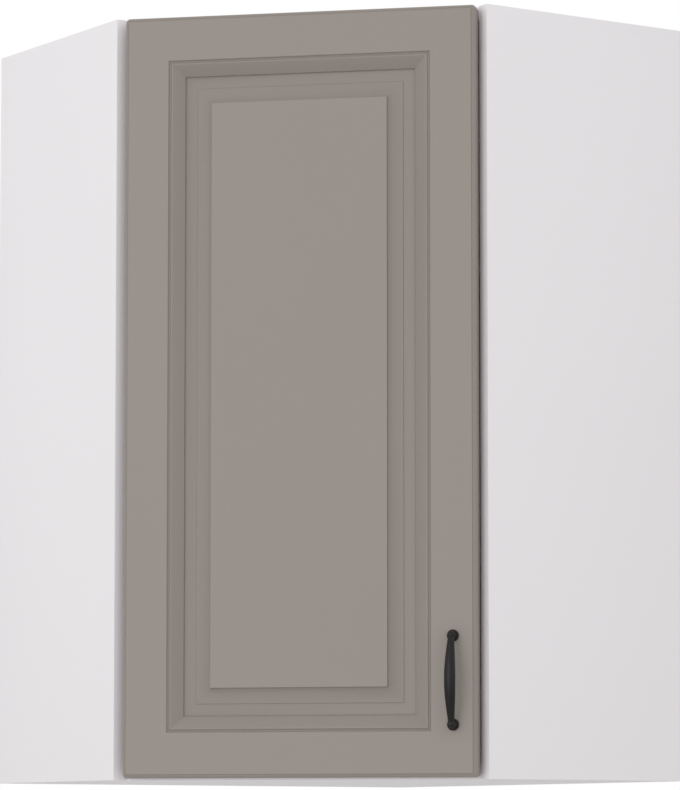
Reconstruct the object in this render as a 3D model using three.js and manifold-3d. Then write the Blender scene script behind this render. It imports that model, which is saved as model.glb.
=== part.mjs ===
// Corner wall cabinet with one diagonal door.
// Millimetres, +Z up. The origin is the room's corner at the height of the cabinet's underside:
// one wall is the plane X = 0, the other the plane Y = 0, and the cabinet fills +X and -Y.
// "Left" and "right" are as seen by someone who stands in front of the door.
import * as THREE from "three";
import { mergeVertices } from "three/addons/utils/BufferGeometryUtils.js";
import Module from "manifold-3d";

const wasm = await Module();
wasm.setup();

// ---------------------------------------------------------------- driving dimensions
// Carcass
const WALL_LENGTH = 600; // along each wall
const CABINET_HEIGHT = 900;
const SIDE_DEPTH = 286; // the side panels, from the wall to their front end
const BOARD = 16; // coated chipboard
const BACK_BOARD = 3; // hardboard
const BACK_RECESS = 17; // from the wall to the back board, room for the wall rail
const GROOVE_DEPTH = 8;
const GROOVE_SLACK = 0.2; // each side of a back board
const CORNER_POST = 36;
const FRONT_SETBACK = 4.5; // top and bottom panels' front edge: room for the door's hinge edge to swing
const BACK_BOARD_END_GAP = 0.5; // to the bottom of its groove

// Shelves
const SHELF_COUNT = 2;
const SHELF_SLACK = 1; // to the panels round it
const SHELF_SETBACK = 15; // behind the door line
const HOLE_PITCH = 32;
const HOLES_EACH_WAY = 1; // spare holes above and below each shelf pin
const FRONT_HOLE_LINE = 37; // from a side panel's front end
const REAR_HOLE_LINE = 72; // from the wall
const PEG_HOLE_RADIUS = 2.6;
const PEG_HOLE_DEPTH = 11;
const PEG_SHANK_RADIUS = 2.35;
const PEG_RADIUS = 3.2;
const PEG_LENGTH = 9;
const PEG_SHANK = 9; // length inside the hole
const PEG_CHAMFER = 1;
const CORNER_PEG_LINE = 27; // on the corner post, from either wall

// Door
const DOOR_THICKNESS = 20;
const DOOR_SIDE_GAP = 1.7; // from the door's edge to the carcass's inner front corner, along the door
const DOOR_END_GAP = 2; // above and below
const DOOR_STANDOFF = 1.8; // from the line between the side panels' inner front corners
const DOOR_CORNER_RADIUS = 5;
const EDGE_ROUND = 3.8;
const EDGE_QUIRK = 0.4; // the small step inside the rounded edge
const FRAME_WIDTH = 52.2; // flat border of the door
const VEIN_DEPTH = 2.4; // narrow groove round the border
const VEIN_WIDTH = 4.6;
const OVOLO_WIDTH = 14.6; // rounded moulding that falls towards the recess
const OVOLO_DROP = 6.4;
const STEP_SLOPE = 0.4; // sideways run of the small upright steps
const RECESS_DEPTH = 10;
const RECESS_WIDTH = 14;
const BEVEL_QUIRK = 0.8; // small step up where the panel's bevel starts
const BEVEL_WIDTH = 17.6;
const BEVEL_TOP_DEPTH = 5.6;
const FIELD_DEPTH = 2.8; // the raised panel's face, below the border's face

// Hinges
const HINGE_FROM_END = 100; // cup centre to the door's top or bottom edge
const CUP_EDGE = 22.5; // cup centre to the door's hinge edge
const CUP_RADIUS = 17.4;
const CUP_WALL = 1.5;
const CUP_FLOOR = 0.75;
const CUP_DEPTH = 12.3;
const CUP_BORE_SLACK = 0.3;
const FLANGE_THICKNESS = 1;
const FLANGE_HALF_HEIGHT = 31;
const FLANGE_END_RADIUS = 7.6;
const CUP_SCREW_HALF_PITCH = 24;
const CUP_SCREW_OFFSET = 5.5; // from the cup's centre, away from the door's edge
const CUP_SCREW_RADIUS = 1.6;
const CUP_SCREW_LENGTH = 11;
const TURNED_GAP = 0.3; // left between pieces that stand at 45 degrees to the walls
const PIVOT_FROM_EDGE = 11.5; // hinge pin to the door's hinge edge
const PIVOT_DEPTH = 8.5; // hinge pin below the door's back face
const PIN_RADIUS = 1.3;
const PIN_SLACK = 0.08;
const EYE_RADIUS = 3;
const ARM_STRIP = 3; // thickness of the bent arm
const ARM_HALF_WIDTH = 5.8;
const EAR_GAP = 0.4; // between the arm and the ears of the cup
const EAR_THICKNESS = 4.6;
const PIN_BITE = 3.3; // length of the pin inside each ear
const NECK_RADIUS = 8.5; // middle line of the arm's bend inside the cup
const NECK_REACH = 10.5; // from the pin to the middle of the bend
const ARM_OFFSET = 9.9; // middle of the arm strip from the side panel's face
const ARM_LENGTH = 54; // the straight part along the side panel
const CHANNEL_HALF_WIDTH = 8.6;
const CHANNEL_WALL = 1.6;
const CHANNEL_SETBACK = 3; // its front end, behind the arm's bend
const PLATE_BASE = 2;
const PLATE_HALF_HEIGHT = 24;
const PLATE_WIDTH = 15;
const PLATE_RIB_HALF_WIDTH = 6.6;
const PLATE_RIB_LENGTH = 46;
const PLATE_RIB_FRONT = 14; // the rib's front end, before the plate's screws
const PLATE_SCREW_RADIUS = 2.3;
const ARM_SCREW_RADIUS = 2.2;
const ARM_SCREW_LENGTH = 7;
const THREAD_DEPTH = 4.5; // in the plate's rib
const CLAMP_SCREW_BACK = 20; // behind the plate's own screws
const SIDE_SCREW_BACK = 2;
const SCREW_SLACK = 0.3; // round a screw's shank

// Screw heads: radius and height
const PLATE_SCREW_HEAD = [4, 1.9];
const CUP_SCREW_HEAD = [3.4, 1.6];
const CLAMP_SCREW_HEAD = [3.6, 1.6];
const SIDE_SCREW_HEAD = [3.2, 0.8];
const HANDLE_SCREW_HEAD = [4, 2.4];
const HOOK_SCREW_HEAD = [3.4, 1.6];

// Handle
const HANDLE_PITCH = 102; // between its two screws
const HANDLE_FROM_BOTTOM = 60; // lower screw to the door's bottom edge
const HANDLE_FROM_EDGE = 27; // to the door's opening edge
const FOOT_RADIUS = 6.8;
const FOOT_NECK_RADIUS = 4.4;
const FOOT_HEIGHT = 14.5;
const GRIP_STANDOFF = 22.5; // middle line of the grip from the door's face
const GRIP_WIDTH = 13;
const GRIP_END_WIDTH = 7.8;
const GRIP_THICKNESS = 8.4;
const GRIP_END_THICKNESS = 6.6;
const HANDLE_SCREW_RADIUS = 1.9;
const HANDLE_HOLE_RADIUS = 2.3;
const HANDLE_SCREW_BITE = 8; // length of thread inside a foot
const HANDLE_HOLE_SPARE = 1; // beyond the screw's tip
const GRIP_SINK = 0.6; // the grip's ends start this far below the feet's tops

// Panel connectors
const CAM_RADIUS = 7.5;
const CAM_SLACK = 0.25;
const CAM_DEPTH = 12.4;
const CAM_SINK = 0.3; // below the panel's face
const CAM_SLOT_REACH = 4.6;
const CAM_SLOT_HALF_WIDTH = 0.9;
const CAM_SLOT_DEPTH = 1.4;
const CAM_FROM_END = 24;
const BOLT_RADIUS = 3;
const BOLT_SLACK = 0.3;
const BOLT_BITE = 9; // length inside the side panel
const BOLT_HOLE_SPARE = 0.5; // beyond the bolt's tip
const CAM_PLACES = [70, 215]; // from the wall, along the side panel

// Wall hangers
const HANGER_WIDTH = 18;
const HANGER_DEPTH = 44;
const HANGER_HEIGHT = 60;
const HANGER_WALL = 2;
const HANGER_NOSE = 6; // its front wall, which takes the adjusting screw
const HOOK_THICKNESS = 3;
const HOOK_FROM_WALL = 4; // the hook's tip stays clear of the wall
const HOOK_HEIGHT = 16;
const HOOK_DROP = 12;
const HOOK_TIP = 4;
const HOOK_SLACK = 0.2;
const HOOK_SEAT = 27; // the hook's underside above the case's underside
const HOOK_SCREW_RADIUS = 1.4;

// Door buffers
const BUFFER_RADIUS = 5;
const BUFFER_FROM_EDGE = 30;

// ---------------------------------------------------------------- places worked out from them
const HALF_SQRT = Math.SQRT1_2;
const OVERCUT = 1; // how far a cutting tool starts outside the face it enters
const PEG_SIDES = 8;
const FINE_SIDES = 12;
const CUP_SIDES = 32;
const INNER_FACE = WALL_LENGTH - BOARD; // inner face of a side panel, from the opposite wall
const INNER_TOP = CABINET_HEIGHT - BOARD;
const INNER_LINE = (INNER_FACE + SIDE_DEPTH) * HALF_SQRT; // room corner to the inner front corners' line
const DOOR_WIDTH = (INNER_FACE - SIDE_DEPTH) * Math.SQRT2 - 2 * DOOR_SIDE_GAP;
const DOOR_HEIGHT = CABINET_HEIGHT - 2 * DOOR_END_GAP;
const DOOR_BACK_Y = -(INNER_LINE + DOOR_STANDOFF); // in the door's own frame
const DOOR_LEFT_X = -DOOR_WIDTH / 2;
const HINGE_HEIGHTS = {
  lower: DOOR_END_GAP + HINGE_FROM_END,
  upper: CABINET_HEIGHT - DOOR_END_GAP - HINGE_FROM_END,
};
const SHELF_SPACING = (INNER_TOP - BOARD - SHELF_COUNT * BOARD) / (SHELF_COUNT + 1);

// ---------------------------------------------------------------- materials
function finish(color, roughness, metalness) {
  return new THREE.MeshStandardMaterial({ color, roughness, metalness });
}
const whiteBoard = finish(0xe4e1e3, 0.55, 0);
const hardboard = finish(0xd9d6d2, 0.7, 0);
const taupePaint = finish(0x99928c, 0.5, 0);
const blackIron = finish(0x2e2c2f, 0.45, 0.6);
const nickel = finish(0xb9bbbd, 0.3, 1);
const zinc = finish(0x9fa3a6, 0.4, 1);
const whitePlastic = finish(0xe9e9e6, 0.45, 0);
const clearRubber = finish(0xdadad6, 0.6, 0);

// ---------------------------------------------------------------- building blocks
const cabinet = new THREE.Group();
// The door's frame stands at 45 degrees to the walls: its X runs along the door, its Y into the corner.
const doorFrame = new THREE.Group();
doorFrame.rotation.z = Math.PI / 4;
cabinet.add(doorFrame);

function addPiece(name, geometry, material, parent = cabinet) {
  const mesh = new THREE.Mesh(geometry, material);
  mesh.name = name;
  parent.add(mesh);
  return mesh;
}

function signedVolume(position, index) {
  const a = new THREE.Vector3();
  const b = new THREE.Vector3();
  const c = new THREE.Vector3();
  let sum = 0;
  for (let i = 0; i < index.length; i += 3) {
    a.fromArray(position, 3 * index[i]);
    b.fromArray(position, 3 * index[i + 1]);
    c.fromArray(position, 3 * index[i + 2]);
    sum += a.dot(b.cross(c));
  }
  return sum / 6;
}

// A closed geometry as a solid, with its faces turned outwards.
function toSolid(geometry) {
  const bare = geometry.index ? geometry.toNonIndexed() : geometry.clone();
  bare.deleteAttribute("normal");
  bare.deleteAttribute("uv");
  const merged = mergeVertices(bare, 1e-4);
  const vertProperties = new Float32Array(merged.attributes.position.array);
  const triVerts = new Uint32Array(merged.index.array);
  if (signedVolume(vertProperties, triVerts) < 0) triVerts.reverse();
  return new wasm.Manifold(new wasm.Mesh({ numProp: 3, vertProperties, triVerts }));
}

function toGeometry(solid) {
  const mesh = solid.getMesh();
  const geometry = new THREE.BufferGeometry();
  const position = new Float32Array(mesh.numVert * 3);
  for (let i = 0; i < mesh.numVert; i++) {
    position.set(mesh.vertProperties.subarray(i * mesh.numProp, i * mesh.numProp + 3), i * 3);
  }
  geometry.setAttribute("position", new THREE.BufferAttribute(position, 3));
  geometry.setIndex(new THREE.BufferAttribute(new Uint32Array(mesh.triVerts), 1));
  geometry.computeVertexNormals();
  return geometry;
}

function join(...geometries) {
  return toGeometry(geometries.map(toSolid).reduce((whole, next) => whole.add(next)));
}

function cut(geometry, ...tools) {
  return toGeometry(tools.map(toSolid).reduce((whole, tool) => whole.subtract(tool), toSolid(geometry)));
}

function common(first, second) {
  return toGeometry(toSolid(first).intersect(toSolid(second)));
}

function block([x0, x1], [y0, y1], [z0, z1]) {
  const geometry = new THREE.BoxGeometry(x1 - x0, y1 - y0, z1 - z0);
  return geometry.translate((x0 + x1) / 2, (y0 + y1) / 2, (z0 + z1) / 2);
}

// A flat outline in the XY plane, carried up from z0 to z1.
function prism(points, z0, z1) {
  const shape = new THREE.Shape(points.map(([x, y]) => new THREE.Vector2(x, y)));
  const geometry = new THREE.ExtrudeGeometry(shape, { depth: z1 - z0, bevelEnabled: false });
  return geometry.translate(0, 0, z0);
}

const AXES = {
  x: new THREE.Vector3(1, 0, 0),
  y: new THREE.Vector3(0, 1, 0),
  z: new THREE.Vector3(0, 0, 1),
};

// A turned piece: profile is [radius, height] pairs, closed on its axis, which starts at "from".
function turned(profile, from, direction, sides) {
  const geometry = new THREE.LatheGeometry(
    profile.map(([r, h]) => new THREE.Vector2(r, h)),
    sides,
  );
  geometry.rotateY(Math.PI / sides);
  const turn = new THREE.Quaternion().setFromUnitVectors(AXES.y, direction);
  geometry.applyQuaternion(turn);
  return geometry.translate(...from);
}

function rod(radius, from, direction, length, sides = 16) {
  const profile = [[0, 0], [radius, 0], [radius, length], [0, length]];
  return turned(profile, from, direction, sides);
}

// Rings of the same number of points, skinned in order and closed at both ends. Each ring is convex.
function loft(rings) {
  const count = rings[0].length;
  const position = rings.flat(2);
  const index = [];
  for (let r = 0; r + 1 < rings.length; r++) {
    for (let i = 0; i < count; i++) {
      const j = (i + 1) % count;
      const a = r * count + i;
      const b = r * count + j;
      index.push(a, b, b + count, a, b + count, a + count);
    }
  }
  const last = (rings.length - 1) * count;
  for (let i = 1; i + 1 < count; i++) {
    index.push(0, i + 1, i);
    index.push(last, last + i, last + i + 1);
  }
  const geometry = new THREE.BufferGeometry();
  geometry.setAttribute("position", new THREE.Float32BufferAttribute(position, 3));
  geometry.setIndex(index);
  return geometry;
}

// The cabinet is the same on both sides of the diagonal plane, so a right piece gives the left one.
function mirrored(geometry) {
  const swap = new THREE.Matrix4().set(0, -1, 0, 0, -1, 0, 0, 0, 0, 0, 1, 0, 0, 0, 0, 1);
  const copy = geometry.clone().applyMatrix4(swap);
  return toGeometry(toSolid(copy));
}

// A screw with a low round head and a cross recess. The head's seat is at "from", and the tip at +length.
function screw([headRadius, headHeight], shankRadius, length, from, direction) {
  const profile = [
    [0, -headHeight],
    [headRadius * 0.62, -headHeight],
    [headRadius * 0.94, -headHeight * 0.6],
    [headRadius, 0],
    [shankRadius, 0],
    [shankRadius, length - shankRadius],
    [0, length],
  ];
  const body = turned(profile, from, direction, 12);
  const reach = headRadius * 0.55;
  const wide = headRadius * 0.14;
  const top = -headHeight - 0.1;
  const floor = -headHeight * 0.35;
  const turn = new THREE.Quaternion().setFromUnitVectors(AXES.y, direction);
  const arms = [[reach, wide], [wide, reach]].map(([a, b]) =>
    block([-a, a], [top, floor], [-b, b]).applyQuaternion(turn).translate(...from),
  );
  return cut(body, ...arms);
}

// ---------------------------------------------------------------- shelf pins and connectors: places
const shelfHeights = Array.from(
  { length: SHELF_COUNT },
  (_, i) => BOARD + SHELF_SPACING * (i + 1) + BOARD * i,
);
const pegHeights = shelfHeights.map((z) => z - PEG_RADIUS);
const pegLines = [SIDE_DEPTH - FRONT_HOLE_LINE, REAR_HOLE_LINE]; // from the wall
const pegHoleHeights = pegHeights.flatMap((z) =>
  Array.from({ length: 2 * HOLES_EACH_WAY + 1 }, (_, i) => z + (i - HOLES_EACH_WAY) * HOLE_PITCH),
);
const connectorHeights = { bottom: BOARD / 2, top: CABINET_HEIGHT - BOARD / 2 };

// ---------------------------------------------------------------- carcass
// The outline of the top and bottom panels: full depth to both walls, cut off along the door.
const frontReach = SIDE_DEPTH - FRONT_SETBACK * Math.SQRT2;
const panelOutline = [
  [0, 0],
  [0, -INNER_FACE],
  [frontReach, -INNER_FACE],
  [INNER_FACE, -frontReach],
  [INNER_FACE, 0],
];
const grooveNear = -(BACK_RECESS - GROOVE_SLACK);
const grooveFar = -(BACK_RECESS + BACK_BOARD + GROOVE_SLACK);

function makeSidePanel() {
  const panel = block([INNER_FACE, WALL_LENGTH], [-SIDE_DEPTH, 0], [0, CABINET_HEIGHT]);
  const groove = block(
    [INNER_FACE - OVERCUT, INNER_FACE + GROOVE_DEPTH],
    [grooveFar, grooveNear],
    [BOARD - GROOVE_DEPTH, INNER_TOP + GROOVE_DEPTH],
  );
  const pegHoles = pegHoleHeights.flatMap((z) =>
    pegLines.map((line) =>
      rod(PEG_HOLE_RADIUS, [INNER_FACE - OVERCUT, -line, z], AXES.x, PEG_HOLE_DEPTH + OVERCUT, PEG_SIDES),
    ),
  );
  const boltHole = OVERCUT + BOLT_BITE + BOLT_HOLE_SPARE;
  const boltHoles = Object.values(connectorHeights).flatMap((z) =>
    CAM_PLACES.map((place) =>
      rod(BOLT_RADIUS + BOLT_SLACK, [INNER_FACE - OVERCUT, -place, z], AXES.x, boltHole, FINE_SIDES),
    ),
  );
  return cut(panel, groove, ...pegHoles, ...boltHoles);
}

function hingeScrewHoles() {
  return Object.values(HINGE_HEIGHTS).flatMap((z) =>
    [-1, 1].map((side) =>
      rod(
        PEG_HOLE_RADIUS,
        [SIDE_DEPTH - FRONT_HOLE_LINE, -INNER_FACE + OVERCUT, z + (side * HOLE_PITCH) / 2],
        AXES.y.clone().negate(),
        PEG_HOLE_DEPTH + OVERCUT,
        PEG_SIDES,
      ),
    ),
  );
}

// The panel from z0 up. "inward" is +1 when the cabinet's inside lies above it and -1 when it lies below.
// The connectors' wells open upwards in both panels.
function makeEndPanel(z0, inward) {
  const z1 = z0 + BOARD;
  const inner = inward > 0 ? z1 : z0;
  const grooveZ = [inner - inward * GROOVE_DEPTH, inner + inward * OVERCUT].sort((a, b) => a - b);
  const postEdge = CORNER_POST - GROOVE_DEPTH;
  const rightGroove = block([postEdge, INNER_FACE + OVERCUT], [grooveFar, grooveNear], grooveZ);
  const leftGroove = mirrored(rightGroove);
  const wellDepth = CAM_SINK + CAM_DEPTH + CAM_SLACK;
  const camHoles = CAM_PLACES.flatMap((place) => {
    const well = rod(
      CAM_RADIUS + CAM_SLACK,
      [INNER_FACE - CAM_FROM_END, -place, z1 - wellDepth],
      AXES.z,
      wellDepth + OVERCUT,
    );
    const bore = rod(
      BOLT_RADIUS + BOLT_SLACK,
      [INNER_FACE - CAM_FROM_END, -place, z0 + BOARD / 2],
      AXES.x,
      CAM_FROM_END + OVERCUT,
      FINE_SIDES,
    );
    return [well, bore];
  });
  const solid = prism(panelOutline, z0, z1);
  return cut(solid, rightGroove, leftGroove, ...camHoles, ...camHoles.map(mirrored));
}

// One cam with its bolt, which bites into the side panel at mid thickness of the end panel.
function makeConnector(place, height) {
  const x = INNER_FACE - CAM_FROM_END;
  const top = height + BOARD / 2 - CAM_SINK;
  const disc = rod(CAM_RADIUS, [x, -place, top - CAM_DEPTH], AXES.z, CAM_DEPTH);
  const bolt = rod(BOLT_RADIUS, [x, -place, height], AXES.x, CAM_FROM_END + BOLT_BITE, FINE_SIDES);
  const reach = CAM_SLOT_REACH;
  const half = CAM_SLOT_HALF_WIDTH;
  const slots = [[reach, half], [half, reach]].map(([a, b]) =>
    block([x - a, x + a], [-place - b, -place + b], [top - CAM_SLOT_DEPTH, top + OVERCUT]),
  );
  return cut(join(disc, bolt), ...slots);
}

function makeBackBoard() {
  const margin = GROOVE_DEPTH - BACK_BOARD_END_GAP;
  const board = block(
    [CORNER_POST - margin, INNER_FACE + margin],
    [-BACK_RECESS - BACK_BOARD, -BACK_RECESS],
    [BOARD - margin, INNER_TOP + margin],
  );
  const hangerWindow = block(
    [INNER_FACE - HANGER_WIDTH + HANGER_WALL, INNER_FACE + GROOVE_DEPTH + OVERCUT],
    [-BACK_RECESS - BACK_BOARD - OVERCUT, -BACK_RECESS + OVERCUT],
    [INNER_TOP - HANGER_HEIGHT + HANGER_WALL, INNER_TOP + GROOVE_DEPTH + OVERCUT],
  );
  return cut(board, hangerWindow);
}

function makeCornerPost() {
  const post = block([0, CORNER_POST], [-CORNER_POST, 0], [BOARD, INNER_TOP]);
  const groove = block(
    [CORNER_POST - GROOVE_DEPTH, CORNER_POST + OVERCUT],
    [grooveFar, grooveNear],
    [BOARD - OVERCUT, INNER_TOP + OVERCUT],
  );
  const inwards = AXES.x.clone().negate();
  const depth = PEG_HOLE_DEPTH + OVERCUT;
  const pegHoles = pegHoleHeights.map((z) =>
    rod(PEG_HOLE_RADIUS, [CORNER_POST + OVERCUT, -CORNER_PEG_LINE, z], inwards, depth, PEG_SIDES),
  );
  return cut(post, groove, mirrored(groove), ...pegHoles);
}

const rightSide = makeSidePanel();
addPiece("right_side_panel", rightSide, whiteBoard);
addPiece("left_side_panel", cut(mirrored(rightSide), ...hingeScrewHoles()), whiteBoard);
addPiece("bottom_panel", makeEndPanel(0, 1), whiteBoard);
addPiece("top_panel", makeEndPanel(INNER_TOP, -1), whiteBoard);
addPiece("right_back_board", makeBackBoard(), hardboard);
addPiece("left_back_board", mirrored(makeBackBoard()), hardboard);
addPiece("corner_post", makeCornerPost(), whiteBoard);

for (const [end, height] of Object.entries(connectorHeights)) {
  CAM_PLACES.forEach((place, i) => {
    const connector = makeConnector(place, height);
    addPiece(`${end}_connector_right_${i + 1}`, connector, zinc);
    addPiece(`${end}_connector_left_${i + 1}`, mirrored(connector), zinc);
  });
}

// ---------------------------------------------------------------- shelves
function makeShelf(z) {
  const back = BACK_RECESS + BACK_BOARD + SHELF_SLACK;
  const post = CORNER_POST + SHELF_SLACK;
  const side = INNER_FACE - SHELF_SLACK;
  const front = SIDE_DEPTH - SHELF_SETBACK * Math.SQRT2 + SHELF_SLACK;
  const half = [
    [post, -back],
    [side, -back],
    [side, -front],
  ];
  const otherHalf = half.map(([x, y]) => [-y, -x]).reverse();
  return prism([[post, -post], ...half, ...otherHalf], z, z + BOARD);
}

function makePeg(from, direction) {
  const profile = [
    [0, -PEG_SHANK],
    [PEG_SHANK_RADIUS - PEG_CHAMFER, -PEG_SHANK],
    [PEG_SHANK_RADIUS, -PEG_SHANK + PEG_CHAMFER],
    [PEG_SHANK_RADIUS, 0],
    [PEG_RADIUS, 0],
    [PEG_RADIUS, PEG_LENGTH - PEG_CHAMFER],
    [PEG_RADIUS - PEG_CHAMFER, PEG_LENGTH],
    [0, PEG_LENGTH],
  ];
  return turned(profile, from, direction, PEG_SIDES);
}

const SHELF_NAMES = ["lower", "upper"];
shelfHeights.forEach((z, i) => {
  const name = SHELF_NAMES[i];
  addPiece(`${name}_shelf`, makeShelf(z), whiteBoard);
  ["front", "rear"].forEach((where, line) => {
    const peg = makePeg([INNER_FACE, -pegLines[line], pegHeights[i]], AXES.x.clone().negate());
    addPiece(`${name}_shelf_pin_right_${where}`, peg, nickel);
    addPiece(`${name}_shelf_pin_left_${where}`, mirrored(peg), nickel);
  });
  const cornerPeg = makePeg([CORNER_POST, -CORNER_PEG_LINE, pegHeights[i]], AXES.x);
  addPiece(`${name}_shelf_pin_corner`, cornerPeg, nickel);
});

// ---------------------------------------------------------------- door
// A rectangle of the door's outline drawn in by inset, its corners rounded, at a depth below the face.
function doorRing(inset, depth, steps) {
  const halfWidth = DOOR_WIDTH / 2 - inset;
  const halfHeight = DOOR_HEIGHT / 2 - inset;
  const radius = steps ? DOOR_CORNER_RADIUS - inset : 0;
  const ring = [];
  [[1, 1], [-1, 1], [-1, -1], [1, -1]].forEach(([sx, sz], corner) => {
    for (let k = 0; k <= steps; k++) {
      const angle = (corner + (steps ? k / steps : 0)) * (Math.PI / 2);
      ring.push([
        sx * (halfWidth - radius) + radius * Math.cos(angle),
        DOOR_BACK_Y - DOOR_THICKNESS + depth,
        CABINET_HEIGHT / 2 + sz * (halfHeight - radius) + radius * Math.sin(angle),
      ]);
    }
  });
  return ring;
}

function makeDoorBlank() {
  const steps = 3;
  const rings = [doorRing(0, DOOR_THICKNESS, steps)];
  for (let k = 0; k <= steps; k++) {
    const angle = (k / steps) * (Math.PI / 2);
    const inset = EDGE_ROUND * (1 - Math.cos(angle));
    const depth = EDGE_QUIRK + EDGE_ROUND * (1 - Math.sin(angle));
    rings.push(doorRing(inset, depth, steps));
  }
  rings.push(doorRing(EDGE_ROUND + EDGE_QUIRK, 0, steps));
  return loft(rings);
}

// What the router takes out of the face: a narrow vein, a rounded moulding that falls to a flat recess,
// and a hollow bevel that rises again to the raised panel in the middle.
function makeDoorCutter() {
  const profile = [[FRAME_WIDTH, -OVERCUT], [FRAME_WIDTH, 0]];
  const veinEnd = FRAME_WIDTH + VEIN_WIDTH;
  const veinLip = VEIN_DEPTH * 0.42; // where the moulding's round starts
  profile.push([FRAME_WIDTH + VEIN_WIDTH * 0.14, VEIN_DEPTH * 0.62]);
  profile.push([FRAME_WIDTH + VEIN_WIDTH * 0.36, VEIN_DEPTH]);
  profile.push([FRAME_WIDTH + VEIN_WIDTH * 0.62, VEIN_DEPTH * 0.92]);
  profile.push([veinEnd, veinLip]);
  const curveSteps = 5;
  for (let k = 1; k <= curveSteps; k++) {
    const t = k / curveSteps;
    profile.push([veinEnd + OVOLO_WIDTH * t, veinLip + OVOLO_DROP * t ** 2.1]);
  }
  const recessStart = veinEnd + OVOLO_WIDTH + STEP_SLOPE;
  profile.push([recessStart, RECESS_DEPTH]);
  profile.push([recessStart + RECESS_WIDTH, RECESS_DEPTH]);
  const bevelStart = recessStart + RECESS_WIDTH + STEP_SLOPE;
  const bevelFoot = RECESS_DEPTH - BEVEL_QUIRK;
  profile.push([bevelStart, bevelFoot]);
  for (let k = 1; k <= curveSteps; k++) {
    const t = k / curveSteps;
    profile.push([bevelStart + BEVEL_WIDTH * t, bevelFoot - (bevelFoot - BEVEL_TOP_DEPTH) * t ** 2.2]);
  }
  profile.push([bevelStart + BEVEL_WIDTH + STEP_SLOPE, FIELD_DEPTH]);
  return loft(profile.map(([inset, depth]) => doorRing(inset, depth, 0)));
}

const handleX = DOOR_WIDTH / 2 - HANDLE_FROM_EDGE;
const handleHeights = {
  lower: DOOR_END_GAP + HANDLE_FROM_BOTTOM,
  upper: DOOR_END_GAP + HANDLE_FROM_BOTTOM + HANDLE_PITCH,
};
const cupX = DOOR_LEFT_X + CUP_EDGE;
const cupScrewX = cupX + CUP_SCREW_OFFSET;

function makeDoor() {
  const tools = [makeDoorCutter()];
  const intoDoor = AXES.y.clone().negate();
  for (const z of Object.values(HINGE_HEIGHTS)) {
    tools.push(
      rod(
        CUP_RADIUS + CUP_BORE_SLACK,
        [cupX, DOOR_BACK_Y + OVERCUT, z],
        intoDoor,
        CUP_DEPTH + CUP_BORE_SLACK + OVERCUT,
        CUP_SIDES,
      ),
    );
    for (const side of [-1, 1]) {
      const from = [cupScrewX, DOOR_BACK_Y + OVERCUT, z + side * CUP_SCREW_HALF_PITCH];
      const depth = CUP_SCREW_LENGTH + OVERCUT;
      tools.push(rod(CUP_SCREW_RADIUS + SCREW_SLACK, from, intoDoor, depth, PEG_SIDES));
    }
  }
  for (const z of Object.values(handleHeights)) {
    const from = [handleX, DOOR_BACK_Y + OVERCUT, z];
    tools.push(rod(HANDLE_HOLE_RADIUS, from, intoDoor, DOOR_THICKNESS + 2 * OVERCUT, FINE_SIDES));
  }
  return cut(makeDoorBlank(), ...tools);
}
addPiece("door", makeDoor(), taupePaint, doorFrame);

// ---------------------------------------------------------------- handle
const doorFaceY = DOOR_BACK_Y - DOOR_THICKNESS;

function makeGrip() {
  const stations = 15;
  const sides = 12;
  const middle = (handleHeights.lower + handleHeights.upper) / 2;
  const gripEnd = FOOT_HEIGHT - GRIP_SINK;
  const rings = [];
  for (let i = 0; i <= stations; i++) {
    const t = (2 * i) / stations - 1; // -1 at the lower foot, +1 at the upper one
    const swell = Math.cos((t * Math.PI) / 2);
    const standoff = gripEnd + (GRIP_STANDOFF - gripEnd) * swell ** 0.75;
    const width = GRIP_END_WIDTH + (GRIP_WIDTH - GRIP_END_WIDTH) * swell ** 1.2;
    const thick = GRIP_END_THICKNESS + (GRIP_THICKNESS - GRIP_END_THICKNESS) * swell;
    const z = middle + (t * HANDLE_PITCH) / 2;
    const ring = [];
    for (let k = 0; k < sides; k++) {
      const angle = (2 * Math.PI * k) / sides;
      const lean = (Math.sin(angle) * thick * t ** 3) / 4; // the ends' rings tip over towards the feet
      ring.push([
        handleX + (Math.cos(angle) * width) / 2,
        doorFaceY - standoff - (Math.sin(angle) * thick) / 2,
        z - lean,
      ]);
    }
    rings.push(ring);
  }
  return loft(rings);
}

// A foot: a low round rosette on the door, a neck, and a small dome over the grip's end.
function makeFoot(z) {
  const profile = [
    [0, TURNED_GAP],
    [FOOT_RADIUS - 0.6, TURNED_GAP],
    [FOOT_RADIUS, 1.2],
    [FOOT_RADIUS - 0.3, 2.6],
    [FOOT_NECK_RADIUS + 0.8, 4.2],
    [FOOT_NECK_RADIUS, 7],
    [FOOT_NECK_RADIUS, FOOT_HEIGHT - 2],
    [FOOT_NECK_RADIUS - 0.4, FOOT_HEIGHT + 1.4],
    [FOOT_NECK_RADIUS * 0.55, FOOT_HEIGHT + 2.8],
    [0, FOOT_HEIGHT + 3.2],
  ];
  return turned(profile, [handleX, doorFaceY, z], AXES.y.clone().negate(), 16);
}

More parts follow.
